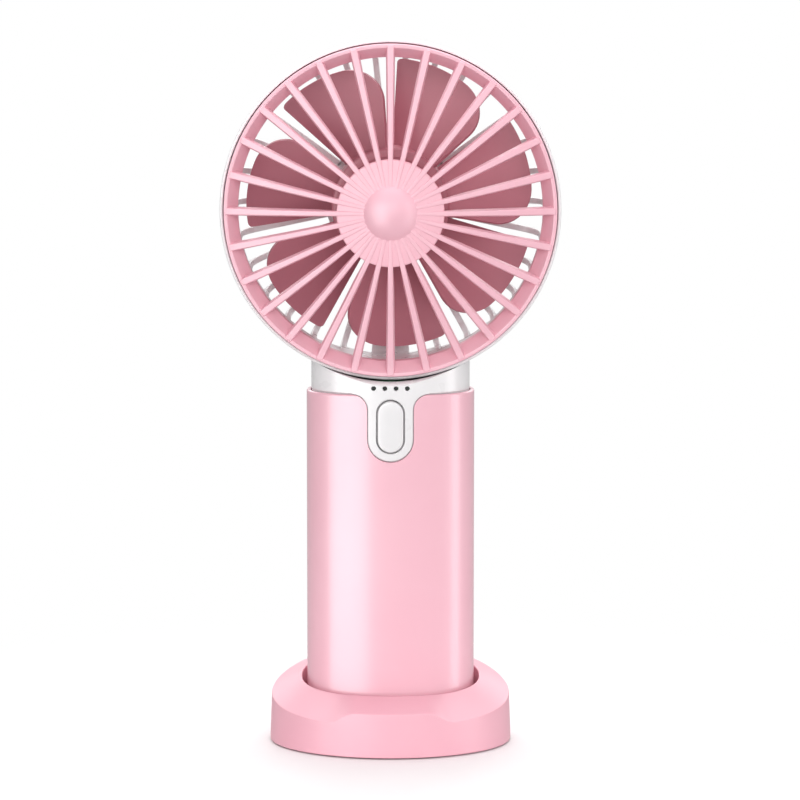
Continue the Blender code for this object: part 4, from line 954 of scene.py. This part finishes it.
@dataclass
class RearHousing:
    """White cage of thirty bars, the back of the neck and the back half of the inner body."""

    finishes: Finishes
    axis: Vector
    shell: BodyShell
    rim_wall: float = 0.95 * MM
    taper_front: float = -5.5 * MM
    duct_front: float = -5.2 * MM
    duct_radius: float = 45.4 * MM
    wall: float = 2.0 * MM
    shoulder: float = 5.0 * MM
    bar_count: int = 30
    bar_width: float = 1.8 * MM
    slot_front: float = 4.0 * MM
    sink: float = 0.8 * MM          # how far a bar runs into the rim and the plate
    plate_radius: float = 19.5 * MM
    plate_step: float = 0.12 * MM   # how far the bars end below the plate
    closed_half: float = 6.0        # degrees without slots, each way from the lowest point
    neck_half: float = 18.0         # degrees where the slots start behind the neck
    neck_slot: float = 12.5 * MM
    plug_front: float = -60 * MM
    tube_bore: float = 3.2 * MM
    tube_radius: float = 3.9 * MM
    tube_front: float = 6.0 * MM
    tube_floor: float = 18.3 * MM
    bend_steps: int = 12
    recess_offset: float = 6.3 * MM
    recess_size: float = 1.8 * MM
    recess_front: float = -1.5 * MM
    recess_back: float = 0.3 * MM
    recess_depth: float = 1.2 * MM
    lead_half: float = 1.2 * MM     # the lead's way: half its width, then where it starts and ends
    lead_front: float = 8 * MM
    lead_back: float = 15.5 * MM
    lead_hole_back: float = 10.6 * MM
    lead_top: float = 13 * MM       # below the motor axis
    lead_bottom: float = 42 * MM
    groove_back: float = 1.1 * MM
    groove_side: float = 1.4 * MM
    groove_open: float = 2 * MM
    usb_well: float = 4 * MM

    def __post_init__(self) -> None:
        """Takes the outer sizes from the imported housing."""
        extent = Extent.of("rear_housing")
        self.rim_radius = extent.half.x
        self.rim_front = extent.low.y
        self.back = extent.high.y
        self.bend = Vector((self.duct_radius - self.shoulder, self.back - self.wall - self.shoulder))

    def outer(self, depth: float) -> float:
        """Outer radius of the cage on its tapered side."""
        share = (depth - self.taper_front) / (self.bend.y - self.taper_front)
        return self.rim_radius + (self.bend.x + self.shoulder + self.wall - self.rim_radius) * share

    def rim(self) -> bpy.types.Object:
        """The front band with the step that the grille's ring sits in."""
        corners = [
            Vector((self.rim_radius, self.rim_front)),
            Vector((self.rim_radius - self.rim_wall, self.rim_front)),
            Vector((self.rim_radius - self.rim_wall, self.duct_front)),
            Vector((self.duct_radius, self.duct_front)),
            Vector((self.duct_radius, self.slot_front)),
            Vector((self.outer(self.slot_front), self.slot_front)),
            Vector((self.rim_radius, self.taper_front)),
        ]
        radii = (0.45 * MM, 0.3 * MM, 0, 0.3 * MM, 0.3 * MM, 0.3 * MM, 2.0 * MM)
        return turned("rear_housing", soften(corners, radii, 3), self.axis, closed=True)

    def plate(self) -> bpy.types.Object:
        """The round back plate with the bearing tube."""
        inner = self.back - self.wall
        corners = [
            Vector((0, self.back)),
            Vector((self.plate_radius, self.back)),
            Vector((self.plate_radius, inner)),
            Vector((self.tube_radius, inner)),
            Vector((self.tube_radius, self.tube_front)),
            Vector((self.tube_bore, self.tube_front)),
            Vector((self.tube_bore, self.tube_floor)),
            Vector((0, self.tube_floor)),
        ]
        radii = (0, 0.5 * MM, 0.3 * MM, 0, 0.2 * MM, 0.2 * MM, 0, 0)
        return turned("back_plate", soften(corners, radii, 3, closed=False), self.axis, 120)

    def path(self) -> list[tuple[Vector, Vector]]:
        """The bar's outer and inner line, each a point of radius and depth, from the rim to the plate."""
        line = [(Vector((self.outer(depth), depth)), Vector((self.duct_radius, depth)))
                for depth in (self.slot_front - self.sink, (self.slot_front + self.bend.y) / 2)]
        outside = arc(self.bend, self.shoulder + self.wall, 0, 90, self.bend_steps)
        inside = arc(self.bend, self.shoulder, 0, 90, self.bend_steps)
        line += list(zip(outside, inside))
        reach = self.plate_radius - self.sink
        line.append((Vector((reach, self.back - self.plate_step)), Vector((reach, self.back - self.wall))))
        return line

    def bars(self) -> bpy.types.Object:
        """One bar lofted from the rim over the shoulder to the plate, and its copies."""
        half = self.bar_width / 2
        rings = []
        for outside, inside in self.path():
            across = (outside - inside).normalized()
            span = (outside - inside).length
            corners = [Vector((-half, 0)), Vector((half, 0)), Vector((half, span)), Vector((-half, span))]
            ring = []
            for point in soften(corners, (0.3 * MM,) * 4, 3):
                place = inside + across * point.y
                ring.append(Vector((self.axis.x + point.x, place.y, self.axis.z + place.x)))
            rings.append(ring)
        bar = lofted("bar", rings)
        pitch = 360 / self.bar_count
        angles = [pitch * (index + 0.5) for index in range(self.bar_count)]
        bar.data.transform(about_axis(self.axis, angles[0]))
        return copies(bar, [about_axis(self.axis, angle - angles[0]) for angle in angles[1:]
                            if abs(angle - 180) > self.closed_half - pitch / 4])

    def closed_wall(self) -> bpy.types.Object:
        """The part of the cage without slots, above the handle."""
        line = self.path()
        outside = [pair[0] for pair in line]
        inside = [pair[1] for pair in reversed(line)]
        half = self.closed_half + math.degrees(self.bar_width / 2 / self.duct_radius)
        return turned("closed_wall", outside + inside, self.axis, 12, closed=True, start=180 - half,
                      sweep=2 * half)

    def neck_wall(self) -> bpy.types.Object:
        """The band over the neck that closes the front of the slots beside the lowest one."""
        start = self.slot_front - self.sink
        corners = [Vector((self.outer(start), start)), Vector((self.outer(self.neck_slot), self.neck_slot)),
                   Vector((self.duct_radius, self.neck_slot)), Vector((self.duct_radius, start))]
        section = soften(corners, (0, 0.4 * MM, 0.4 * MM, 0), 3)
        return turned("neck_wall", section, self.axis, 24, closed=True, start=180 - self.neck_half,
                      sweep=2 * self.neck_half)

    def duct_plug(self) -> bpy.types.Object:
        """The space inside the cage as a cutter, sunk a little into its wall."""
        sink = self.wall / 4
        profile = [Vector((0, self.back - self.wall + sink))]
        profile += arc(self.bend, self.shoulder + sink, 90, 0, self.bend_steps)
        profile += [Vector((self.duct_radius + sink, self.plug_front)), Vector((0, self.plug_front))]
        return turned("duct_plug", profile, self.axis, ROUND)

    def recesses(self) -> list[bpy.types.Object]:
        """The two square pockets that the grille's hooks snap into."""
        half = self.recess_size / 2
        floor = self.axis.z - self.duct_radius - self.recess_depth
        pockets = []
        for side in (-1, 1):
            x = self.axis.x + side * self.recess_offset
            pockets.append(block("recess", Vector((x - half, self.recess_front, floor)),
                                 Vector((x + half, self.recess_back, floor + CLEAR))))
        return pockets

    def lead_way(self) -> list[bpy.types.Object]:
        """The grooves and the hole that the motor lead runs in."""
        half = self.lead_half
        inner = self.back - self.wall
        duct_bottom = self.axis.z - self.duct_radius
        top = duct_bottom + self.groove_open
        return [
            block("groove_back", Vector((-half, inner - MM, self.axis.z - self.lead_bottom)),
                  Vector((half, inner + self.groove_back, self.axis.z - self.lead_top))),
            block("groove_side", Vector((-half, self.lead_front, duct_bottom - self.groove_side)),
                  Vector((half, self.lead_back, top))),
            block("lead_hole", Vector((-half, self.lead_front, self.axis.z - self.rim_radius - 3 * MM)),
                  Vector((half, self.lead_hole_back, top))),
        ]

    def build(self) -> None:
        """Makes the housing."""
        housing = self.shell.half("rear_body", 1)
        work(housing, Boolean.CUT, self.shell.cavity(), self.duct_plug())
        cage = work(self.rim(), Boolean.ADD, self.closed_wall(), self.neck_wall(), self.bars(), self.plate())
        work(housing, Boolean.ADD, cage)
        work(housing, Boolean.CUT, *self.lead_way(), *self.recesses(), *self.shell.screw_holes(False))
        well = self.shell.half_depth - self.usb_well
        work(housing, Boolean.CUT, raised("usb_way", usb_outline(GAP), well, self.shell.through))
        finish(housing, "rear_housing_moulding", "fan_body", self.finishes.white,
               "rear_housing")


def usb_outline(grow: float) -> list[Vector]:
    """The charging opening in X and Z, grown round the socket."""
    socket = Extent.of("usb_socket")
    radius = socket.half.z + grow
    reach = socket.half.x - socket.half.z
    outline = arc(Vector((socket.middle.x + reach, socket.middle.z)), radius, -90, 90, 12)
    return outline + arc(Vector((socket.middle.x - reach, socket.middle.z)), radius, 90, 270, 12)


@dataclass
class Tongue:
    """The U-shaped panel below the neck and the outline that it shares with the sleeve's notch."""

    half_width: float = 6.6 * MM
    fillet: float = 4.7 * MM
    bottom: float = 86.9 * MM
    over: float = 0.5 * MM          # past the seam, so that the outline merges with the neck
    flare: float = 0.12 * MM        # the rounding of the edge at the face
    flare_depth: float = 0.25 * MM
    skin: float = 0.02 * MM         # the flare starts this much outside the face

    def stations(self, face: float, grow: float, flare: float, back: float) -> list[tuple[float, float]]:
        """Depths and growths of a U that is flared at the face and straight to its back."""
        wide = grow + flare
        return [(face - CLEAR, wide), (face - self.skin, wide), (face + self.flare_depth, grow), (back, grow)]

    def outline(self, grow: float, top: float) -> list[Vector]:
        """The U in X and Z, grown outwards."""
        half = self.half_width + grow
        fillet = self.fillet - grow
        corner = half + fillet
        middle = self.bottom + self.half_width
        points = [Vector((corner, top + self.over))]
        points += arc(Vector((corner, top - fillet)), fillet, 90, 180, 14)
        points += arc(Vector((0, middle)), half, 0, -180, 36)
        points += arc(Vector((-corner, top - fillet)), fillet, 0, 90, 14)
        points += [Vector((-corner, top + self.over))]
        return points

    def flared(self, name: str, stations: Sequence[tuple[float, float]], top: float) -> bpy.types.Object:
        """The U as a solid along Y whose edge grows or shrinks at the given depths."""
        return lofted(name, [standing(self.outline(grow, top), depth) for depth, grow in stations])


@dataclass
class FrontHousing:
    """White front half: neck, tongue with its openings, and the half shell inside the sleeve."""

    finishes: Finishes
    axis: Vector
    shell: BodyShell
    tongue: Tongue
    button_clearance: float = 0.45 * MM
    chamfer: float = 0.3 * MM
    lamp_hole: float = 0.71 * MM
    button_way: float = 30 * MM     # in front of the sleeve's middle, as the two that follow
    inner_face: float = 8 * MM
    tongue_back: float = 2.2 * MM
    saddle_rise: float = 1.3 * MM
    saddle_depth: float = 3.2 * MM
    saddle_front: float = -40 * MM
    saddle_back: float = 5 * MM

    def button_opening(self, outline: Callable[[float], list[Vector]]) -> bpy.types.Object:
        """The opening round the button with its chamfered edge."""
        face = -self.shell.neck_half_depth
        stations = ((-self.button_way, self.chamfer), (face - 0.05 * MM, self.chamfer),
                    (face + self.chamfer, 0.0), (-self.inner_face, 0.0))
        return lofted("button_opening", [standing(outline(self.button_clearance + grow), depth)
                                         for depth, grow in stations])

    def saddle(self) -> bpy.types.Object:
        """The cutter that leaves room for the rim and rounds the neck's front edge under it."""
        rim = Extent.of("rear_housing").half.x + GAP
        face = -self.shell.neck_half_depth - 0.01 * MM
        profile = [Vector((0, self.saddle_front)), Vector((rim + self.saddle_rise, self.saddle_front))]
        profile += [Vector((rim + self.saddle_rise * turn.x, face + self.saddle_depth * turn.y))
                    for turn in quarter(9)]
        profile += [Vector((rim, self.saddle_back)), Vector((0, self.saddle_back))]
        return turned("saddle", profile, self.axis)

    def build(self, button_outline: Callable[[float], list[Vector]]) -> None:
        """Makes the housing round the button's outline."""
        shell = self.shell
        piece = shell.half("front_body", -1)
        face = -shell.neck_half_depth
        top = shell.seam + GAP
        stations = self.tongue.stations(face, 0.0, -self.tongue.flare, -self.tongue_back)
        tongue = self.tongue.flared("tongue", stations, top)
        skin = shell.upright("tongue_face", shell.sleeve.half.x - shell.face_inset, shell.neck_half_depth,
                             self.tongue.bottom - CLEAR, top + 0.4 * MM)
        work(tongue, Boolean.KEEP, skin)
        work(piece, Boolean.ADD, tongue)
        work(piece, Boolean.CUT, shell.cavity(), self.button_opening(button_outline))
        for lamp in range(1, 5):
            place = Extent.of(f"indicator_led_{lamp}").middle
            hole = drum("lamp_hole", self.lamp_hole, Vector((place.x, -self.button_way, place.z)),
                        Vector((place.x, -self.inner_face, place.z)), 32)
            work(piece, Boolean.CUT, hole)
        work(piece, Boolean.CUT, self.saddle(), *shell.screw_holes(True))
        finish(piece, "front_housing_moulding", "fan_body", self.finishes.white,
               "front_housing")


@dataclass
class Handle:
    """Pink sleeve and the cap that closes it."""

    finishes: Finishes
    sleeve: Extent
    tongue: Tongue
    wall: float = 1.2 * MM
    edge: float = 0.95 * MM
    usb_margin: float = 0.4 * MM
    cap_edge: float = 1.2 * MM
    cap_seam: float = 0.2 * MM
    plug_inset: float = 1.8 * MM
    plug_edge: float = 0.4 * MM

    def build_sleeve(self) -> None:
        """Makes the sleeve with its notch and its charging opening."""
        low, high = self.sleeve.low.z, self.sleeve.high.z
        corners = [Vector((0, low)), Vector((0, high)), Vector((self.wall, high)), Vector((self.wall, low))]
        section = soften(corners, (0.35 * MM, self.edge, 0.1 * MM, 0.15 * MM), 5)
        section.append(section[0])
        half = self.sleeve.half
        piece = lofted("sleeve", [level(half.x - p.x, half.y - p.x, p.y) for p in section])
        face, back = self.sleeve.low.y, self.sleeve.high.y
        stations = self.tongue.stations(face, GAP, self.tongue.flare, face / 2)
        notch = self.tongue.flared("notch", stations, high)
        way = raised("usb_way", usb_outline(GAP + self.usb_margin), back / 2, back + CLEAR)
        work(piece, Boolean.CUT, notch, way)
        finish(piece, "sleeve_moulding", "fan_body", self.finishes.sleeve, "handle_sleeve")

    def build_cap(self) -> None:
        """Makes the cap with its rounded edge and the plug inside the body."""
        cap = Extent.of("bottom_cap")
        step = self.sleeve.low.z - GAP
        plug = self.wall + GAP + self.plug_inset
        stations = [(self.cap_edge * turn.x, cap.low.z + self.cap_edge * turn.y) for turn in quarter(5)]
        stations += [(0.0, step - self.cap_seam), (self.cap_seam, step), (plug, step),
                     (plug, cap.high.z - self.plug_edge), (plug + self.plug_edge, cap.high.z)]
        rings = [level(cap.half.x - inset, cap.half.y - inset, height) for inset, height in stations]
        piece = lofted("cap", rings)
        finish(piece, "cap_moulding", "fan_body", self.finishes.grille, "bottom_cap")


@dataclass
class PowerButton:
    """White pill button on its flange."""

    finishes: Finishes
    half_width: float = 3.8 * MM
    half_height: float = 7.65 * MM
    margin: float = 1.25 * MM
    flange: float = 0.8 * MM
    edge: float = 0.55 * MM
    crown: float = 0.12 * MM        # how far the face falls off towards its edge
    crown_flat: float = 2.6 * MM    # from the edge inwards, where the face is flat
    crown_turn: float = 1.5 * MM    # from the edge inwards, where it has fallen by a quarter

    def __post_init__(self) -> None:
        """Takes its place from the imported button."""
        self.extent = Extent.of("power_button")

    def outline(self, grow: float) -> list[Vector]:
        """The pill in X and Z, grown outwards."""
        radius = self.half_width + grow
        straight = self.half_height - self.half_width
        middle = self.extent.middle
        points = arc(Vector((middle.x, middle.z + straight)), radius, 0, 180, 24)
        return points + arc(Vector((middle.x, middle.z - straight)), radius, 180, 360, 24)

    def build(self) -> None:
        """Makes the button: crowned face, rounded edge, flange behind the panel."""
        face, back = self.extent.low.y, self.extent.high.y
        neck = back - self.flange
        stations = [(face, -self.crown_flat), (face + self.crown / 4, -self.crown_turn)]
        stations += [(face + self.crown + self.edge * turn.y, -self.edge * turn.x) for turn in quarter(5)]
        stations += [(neck, 0.0), (neck, self.margin), (back, self.margin)]
        piece = lofted("button", [standing(self.outline(grow), depth) for depth, grow in stations])
        finish(piece, "button_moulding", "button", self.finishes.button, "power_button")


# ---------------------------------------------------------------- dock

@dataclass
class Dock:
    """Pink dock: shell with its collar, lip and pocket, base plate and pad."""

    finishes: Finishes
    sleeve: Extent
    draft: float = 0.5 * MM
    wall: float = 1.8 * MM
    edge_height: float = 14.6 * MM  # the wall's top, where the collar starts
    edge_slope: float = 0.24        # its rise towards the back
    edge_bow: float = 2.7           # and how that rise grows, per metre
    rim_height: float = 20.1 * MM   # the collar's top, round the pocket
    rim_slope: float = 0.2
    lip_height: float = 13.5 * MM
    lip_flat: float = 11.0 * MM     # half of the lip's level top
    lip_foot: float = 19.2 * MM     # half of its foot
    clearance: float = 1.5 * MM
    pocket_floor: float = 5.0 * MM
    floor_share: float = 0.4        # where the floor's flat middle starts
    steps: int = 240
    boss_radius: float = 2.1 * MM
    boss_foot: float = 3.0 * MM
    boss_top: float = 11.2 * MM
    hole_radius: float = 1.15 * MM
    well_depth: float = 1.5 * MM
    plate_edge: float = 0.4 * MM
    pad_edge: float = 0.25 * MM

    def __post_init__(self) -> None:
        """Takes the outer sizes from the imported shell."""
        self.extent = Extent.of("dock_shell")

    def edge_at(self, x: float, y: float) -> float:
        """Height of the wall's top edge, with the raised lip at the front."""
        height = self.edge_height + self.edge_slope * y + self.edge_bow * y * y
        if y > 0:
            return height
        share = min(max((abs(x) - self.lip_flat) / (self.lip_foot - self.lip_flat), 0.0), 1.0)
        lip = 1 - share * share * (3 - 2 * share)
        return height + max(self.lip_height - height, 0.0) * lip

    def column(self, outer: Vector, top: Vector, pocket: Vector) -> list[Vector]:
        """The section of the shell at one place round it, from under the pocket's floor to its middle."""
        inward = (-outer).normalized() * self.wall
        edge = self.edge_at(top.x, top.y)
        rim = self.rim_height + self.rim_slope * pocket.y
        outside = pocket + pocket.normalized() * self.wall
        low = self.extent.low.z
        floor = self.pocket_floor
        centre = pocket * self.floor_share
        corners = [
            Vector((centre.x, centre.y, floor - self.wall)),
            Vector((*outside, floor - self.wall)),
            Vector((*outside, rim - self.wall)),
            Vector((*(top + inward), edge - self.wall)),
            Vector((*(outer + inward), low)),
            Vector((*outer, low)),
            Vector((*top, edge)),
            Vector((*pocket, rim)),
            Vector((*pocket, floor)),
            Vector((centre.x, centre.y, floor)),
        ]
        radii = (0, 0.3 * MM, 0.3 * MM, 0.3 * MM, 0.15 * MM, 0.35 * MM, 0.5 * MM, 0.4 * MM, 0.8 * MM, 0)
        return soften(corners, radii, 4, closed=False)

    def ellipse(self, half: Vector, inset: float, height: float) -> list[Vector]:
        """A level ellipse at a height, inset from the given half size."""
        return level(half.x - inset, half.y - inset, height, self.steps, 2.0)

    def screws(self) -> list[Extent]:
        """Where the four dock screws stand."""
        return [Extent.of(f"dock_screw_{index}") for index in range(1, 5)]

    def upright_drum(self, name: str, radius: float, screw: Extent, low: float, high: float,
                     steps: int) -> bpy.types.Object:
        """A drum that stands on a screw's axis between two heights."""
        x, y = screw.middle.x, screw.middle.y
        return drum(name, radius, Vector((x, y, low)), Vector((x, y, high)), steps)

    def build_shell(self) -> None:
        """Makes the shell from one rolled skin, with its screw bosses."""
        half = self.extent.half
        outer = oval(half.x, half.y, self.steps, 2.0)
        top = oval(half.x - self.draft, half.y - self.draft, self.steps, 2.0)
        pocket = oval(self.sleeve.half.x + self.clearance, self.sleeve.half.y + self.clearance, self.steps)
        columns = [self.column(*places) for places in zip(outer, top, pocket)]
        rings = [[column[row] for column in columns] for row in range(len(columns[0]))]
        piece = lofted("dock", rings)
        for screw in self.screws():
            boss = self.upright_drum("boss", self.boss_radius, screw, self.boss_foot, self.boss_top, 32)
            hole = self.upright_drum("hole", self.hole_radius, screw, self.boss_foot - MM,
                                     screw.high.z + MM, 24)
            work(piece, Boolean.ADD, boss)
            work(piece, Boolean.CUT, hole)
        finish(piece, "dock_moulding", "dock", self.finishes.dock, "dock_shell")

    def build_plate(self) -> None:
        """Makes the base plate with its chamfered edge and its screw wells."""
        plate = Extent.of("dock_base_plate")
        edge, low, high = self.plate_edge, plate.low.z, plate.high.z
        stations = ((edge, low), (0.0, low + edge), (0.0, high))
        piece = lofted("plate", [self.ellipse(plate.half, inset, height) for inset, height in stations])
        for screw in self.screws():
            well = self.upright_drum("well", screw.half.x + GAP, screw, -2 * MM, low + self.well_depth, 40)
            shank = self.upright_drum("shank", self.hole_radius, screw, 0, 6 * MM, 32)
            work(piece, Boolean.CUT, well, shank)
        finish(piece, "base_plate_moulding", "dock", self.finishes.plate, "dock_base_plate")

    def build_pad(self) -> None:
        """Makes the pad with its rounded edge."""
        pad = Extent.of("dock_pad")
        edge, low, high = self.pad_edge, pad.low.z, pad.high.z
        stations = ((edge, low), (edge * 0.3, low + edge * 0.3), (0.0, low + edge), (0.0, high))
        rings = [self.ellipse(pad.half, inset, height) for inset, height in stations]
        finish(lofted("pad", rings), "pad_moulding", "dock", self.finishes.pad, "dock_pad")

    def build(self) -> None:
        """Makes the three pieces."""
        self.build_shell()
        self.build_plate()
        self.build_pad()


@dataclass
class Screws:
    """Pan-head tapping screws with a cross recess, modelled once and copied."""

    finishes: Finishes
    head_radius: float = 1.9 * MM
    head_height: float = 1.2 * MM
    shank_radius: float = 1.0 * MM
    core_radius: float = 0.78 * MM
    neck: float = 0.4 * MM          # bare shank under the head
    tip: float = 1.2 * MM           # unthreaded point
    pitch: float = 0.6 * MM
    recess: float = 0.8 * MM
    slot_reach: float = 1.15 * MM
    slot_half: float = 0.22 * MM
    slot_turn: float = 20.0         # degrees

    def model(self, length: float) -> bpy.types.Object:
        """One screw on the origin, its head's top at zero and its tip down -Z."""
        head, foot = self.head_radius, -self.head_height
        profile = [Vector((0, 0)), Vector((head * 0.55, 0)), Vector((head * 0.86, foot * 0.15)),
                   Vector((head, foot / 2)), Vector((head, foot)), Vector((self.shank_radius, foot))]
        depth = foot - self.neck
        while depth > self.tip - length:
            profile.append(Vector((self.core_radius, depth)))
            profile.append(Vector((self.shank_radius, depth - self.pitch / 2)))
            depth -= self.pitch
        profile += [Vector((self.core_radius, self.tip / 2 - length)), Vector((0, -length))]
        piece = draw("screw", [Vector((p.x, 0, p.y)) for p in profile], closed=False)
        open_edit(piece)
        bpy.ops.mesh.spin(steps=36, dupli=False, angle=2 * math.pi, center=(0, 0, 0), axis=(0, 0, 1))
        close_edit()
        tidy_mesh(piece)
        reach, half = self.slot_reach, self.slot_half
        for turn in (0, 90):
            slot = block("slot", Vector((-reach, -half, -self.recess)), Vector((reach, half, MM)))
            slot.data.transform(Matrix.Rotation(math.radians(turn + self.slot_turn), 4, "Z"))
            work(piece, Boolean.CUT, slot)
        return piece

    def place(self, model: bpy.types.Object, name: str, body: str, turn: Matrix) -> None:
        """Puts a copy of a modelled screw where a packed one stands."""
        piece = model.copy()
        piece.data = model.data.copy()
        bpy.context.scene.collection.objects.link(piece)
        piece.data.transform(turn)
        finish(piece, f"{name}_turned", body, self.finishes.steel, name)

    def build(self) -> None:
        """Makes the four dock screws and the four body screws."""
        dock = Extent.of("dock_screw_1")
        model = self.model(dock.high.z - dock.low.z)
        for index in range(1, 5):
            extent = Extent.of(f"dock_screw_{index}")
            place = Matrix.Translation(Vector((extent.middle.x, extent.middle.y, extent.low.z)))
            self.place(model, f"dock_screw_{index}", "dock", place @ Matrix.Rotation(math.pi, 4, "X"))
        bpy.data.objects.remove(model, do_unlink=True)
        body = Extent.of("body_screw_lower_left")
        model = self.model(body.high.y - body.low.y)
        for row in ("lower", "upper"):
            for side in ("left", "right"):
                extent = Extent.of(f"body_screw_{row}_{side}")
                place = Matrix.Translation(Vector((extent.middle.x, extent.high.y, extent.middle.z)))
                turn = place @ Matrix.Rotation(-math.pi / 2, 4, "X")
                self.place(model, f"body_screw_{row}_{side}", "fan_body", turn)
        bpy.data.objects.remove(model, do_unlink=True)


@dataclass
class Inside:
    """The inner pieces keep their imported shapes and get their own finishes."""

    finishes: Finishes

    def build(self) -> None:
        """Dresses the motor, the boards, the cell, the switch and the leads."""
        finishes = self.finishes
        dressed = {
            "rotor_cup": finishes.motor_steel, "motor_shaft": finishes.motor_steel,
            "stator_core": finishes.motor_steel, "magnet_ring": finishes.magnet,
            "bearing_front": finishes.bronze, "bearing_rear": finishes.bronze,
            "motor_board": finishes.board, "charge_board": finishes.board, "control_board": finishes.board,
            "battery_cell": finishes.wrap, "battery_tab_top": finishes.nickel,
            "battery_tab_bottom": finishes.nickel, "usb_socket": finishes.steel,
            "switch_body": finishes.dark, "switch_plunger": finishes.dark,
            "light_pipe": finishes.light_pipe, "motor_lead": finishes.white_lead,
            "battery_lead": finishes.red_lead,
        }
        dressed.update({f"stator_coil_{index}": finishes.copper for index in range(1, 7)})
        dressed.update({f"indicator_led_{index}": finishes.lamp for index in range(1, 5)})
        for node, material in dressed.items():
            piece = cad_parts[node]
            piece.data.materials.clear()
            piece.data.materials.append(material)
            log.info("%s: dressed in %s", node, material.name)


# ---------------------------------------------------------------- studio

class LightUse(Enum):
    """What a soft light does."""

    WHOLE = "lights and shines"
    GLOSS = "shines only"


@dataclass
class Studio:
    """Pale floor, soft boxes and the camera."""

    camera_back: float = 1.3
    camera_height: float = 0.28815
    pitch: float = 8.1              # degrees that the camera looks down
    lens: float = 198.0
    shift: float = 0.0119
    aim_height: float = 0.1
    floor_radius: float = 0.9
    paper: float = 25 * MM          # size of the clouds in the floor's tone
    fade_start: float = 0.05
    fade_end: float = 0.2
    fill: float = 0.57

    def floor(self) -> None:
        """A round white floor that fades into the background."""
        bpy.ops.mesh.primitive_circle_add(vertices=96, radius=self.floor_radius, fill_type="NGON")
        floor = bpy.context.active_object
        floor.name = "studio_floor"
        material, shader, place = new_material("white_studio_board")
        links = material.node_tree.links
        add_tint(material, add_noise(material, place, self.paper, 4.0), linear("#ebebeb"), linear("#ededed"))
        shader.inputs["Roughness"].default_value = 0.6
        shader.inputs["Specular IOR Level"].default_value = 0.2
        reach = add_node(material, "ShaderNodeVectorMath", {"operation": "LENGTH"}, {})
        links.new(place, reach.inputs[0])
        fade = add_node(material, "ShaderNodeMapRange",
                        {"interpolation_type": "SMOOTHSTEP", "From Min": self.fade_start,
                         "From Max": self.fade_end, "To Min": 1.0, "To Max": 0.0},
                        {"Value": reach.outputs["Value"]})
        links.new(fade.outputs["Result"], shader.inputs["Alpha"])
        floor.data.materials.append(material)
        floor.visible_glossy = False

    def soft_box(self, name: str, place: Vector, aim: Vector, size: tuple[float, float], power: float,
                 use: LightUse = LightUse.WHOLE) -> None:
        """One rectangular soft light.

        Args:
            name: Its name.
            place: Where it stands.
            aim: What it points at.
            size: Width and height of its panel.
            power: Its power in watts.
            use: Whether it lights surfaces or only shows in their gloss.
        """
        data = bpy.data.lights.new(name, "AREA")
        data.shape = "RECTANGLE"
        data.size, data.size_y = size
        data.energy = power
        light = bpy.data.objects.new(name, data)
        light.location = place
        light.rotation_euler = (aim - place).to_track_quat("-Z", "Y").to_euler()
        light.visible_camera = False
        light.visible_diffuse = use is not LightUse.GLOSS
        bpy.context.scene.collection.objects.link(light)

    def lights(self) -> None:
        """The soft boxes and the white background."""
        aim = Vector((0, 0, self.aim_height))
        self.soft_box("key_box", Vector((0.15, -1.5, 0.6)), aim, (1.3, 0.9), 12.5)
        self.soft_box("top_box", Vector((0, 0.16, 1.05)), aim, (0.9, 0.6), 8.0)
        self.soft_box("left_panel", Vector((-0.54, -0.72, 0.1)), aim, (0.8, 1.2), 15.0, LightUse.GLOSS)
        self.soft_box("right_panel", Vector((0.85, -0.3, 0.1)), aim, (0.3, 1.2), 4.5, LightUse.GLOSS)
        self.soft_box("back_panel", Vector((0, 0.9, 0.7)), aim, (2.2, 0.7), 14.0, LightUse.GLOSS)
        world = bpy.data.worlds.new("white_surround")
        bpy.context.scene.world = world
        world.use_nodes = True
        nodes, links = world.node_tree.nodes, world.node_tree.links
        seen = nodes["Background"]
        seen.inputs["Color"].default_value = (1, 1, 1, 1)
        seen.inputs["Strength"].default_value = 1.0
        fill = nodes.new("ShaderNodeBackground")
        fill.inputs["Color"].default_value = (1, 1, 1, 1)
        fill.inputs["Strength"].default_value = self.fill
        path = nodes.new("ShaderNodeLightPath")
        mix = nodes.new("ShaderNodeMixShader")
        links.new(path.outputs["Is Camera Ray"], mix.inputs["Fac"])
        links.new(fill.outputs["Background"], mix.inputs[1])
        links.new(seen.outputs["Background"], mix.inputs[2])
        links.new(mix.outputs["Shader"], nodes["World Output"].inputs["Surface"])
        bpy.context.scene.view_settings.view_transform = "Standard"
        bpy.context.scene.view_settings.look = "None"

    def camera(self) -> None:
        """The camera, a little above the fan and far in front of it."""
        data = bpy.data.cameras.new("camera")
        data.lens = self.lens
        data.shift_x = self.shift
        camera = bpy.data.objects.new("camera", data)
        camera.location = (0, -self.camera_back, self.camera_height)
        camera.rotation_euler = (math.radians(90 - self.pitch), 0, 0)
        bpy.context.scene.collection.objects.link(camera)
        bpy.context.scene.camera = camera

    def build(self) -> None:
        """Sets the studio up."""
        self.floor()
        self.lights()
        self.camera()


def main() -> None:
    """Builds the looks in order."""
    logging.basicConfig(level=logging.INFO, format="%(message)s", stream=sys.stdout)
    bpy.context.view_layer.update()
    finishes = Finishes()
    motor = Extent.of("rotor_cup").middle
    axis = Vector((motor.x, 0, motor.z))
    sleeve = Extent.of("handle_sleeve")
    shell = BodyShell(sleeve, axis)
    tongue = Tongue()
    button = PowerButton(finishes)
    FrontGrille(finishes, axis).build()
    Impeller(finishes, axis).build()
    RearHousing(finishes, axis, shell).build()
    FrontHousing(finishes, axis, shell, tongue).build(button.outline)
    handle = Handle(finishes, sleeve, tongue)
    handle.build_sleeve()
    handle.build_cap()
    button.build()
    Dock(finishes, sleeve).build()
    Screws(finishes).build()
    Inside(finishes).build()
    Studio().build()


if __name__ == "__main__":
    main()
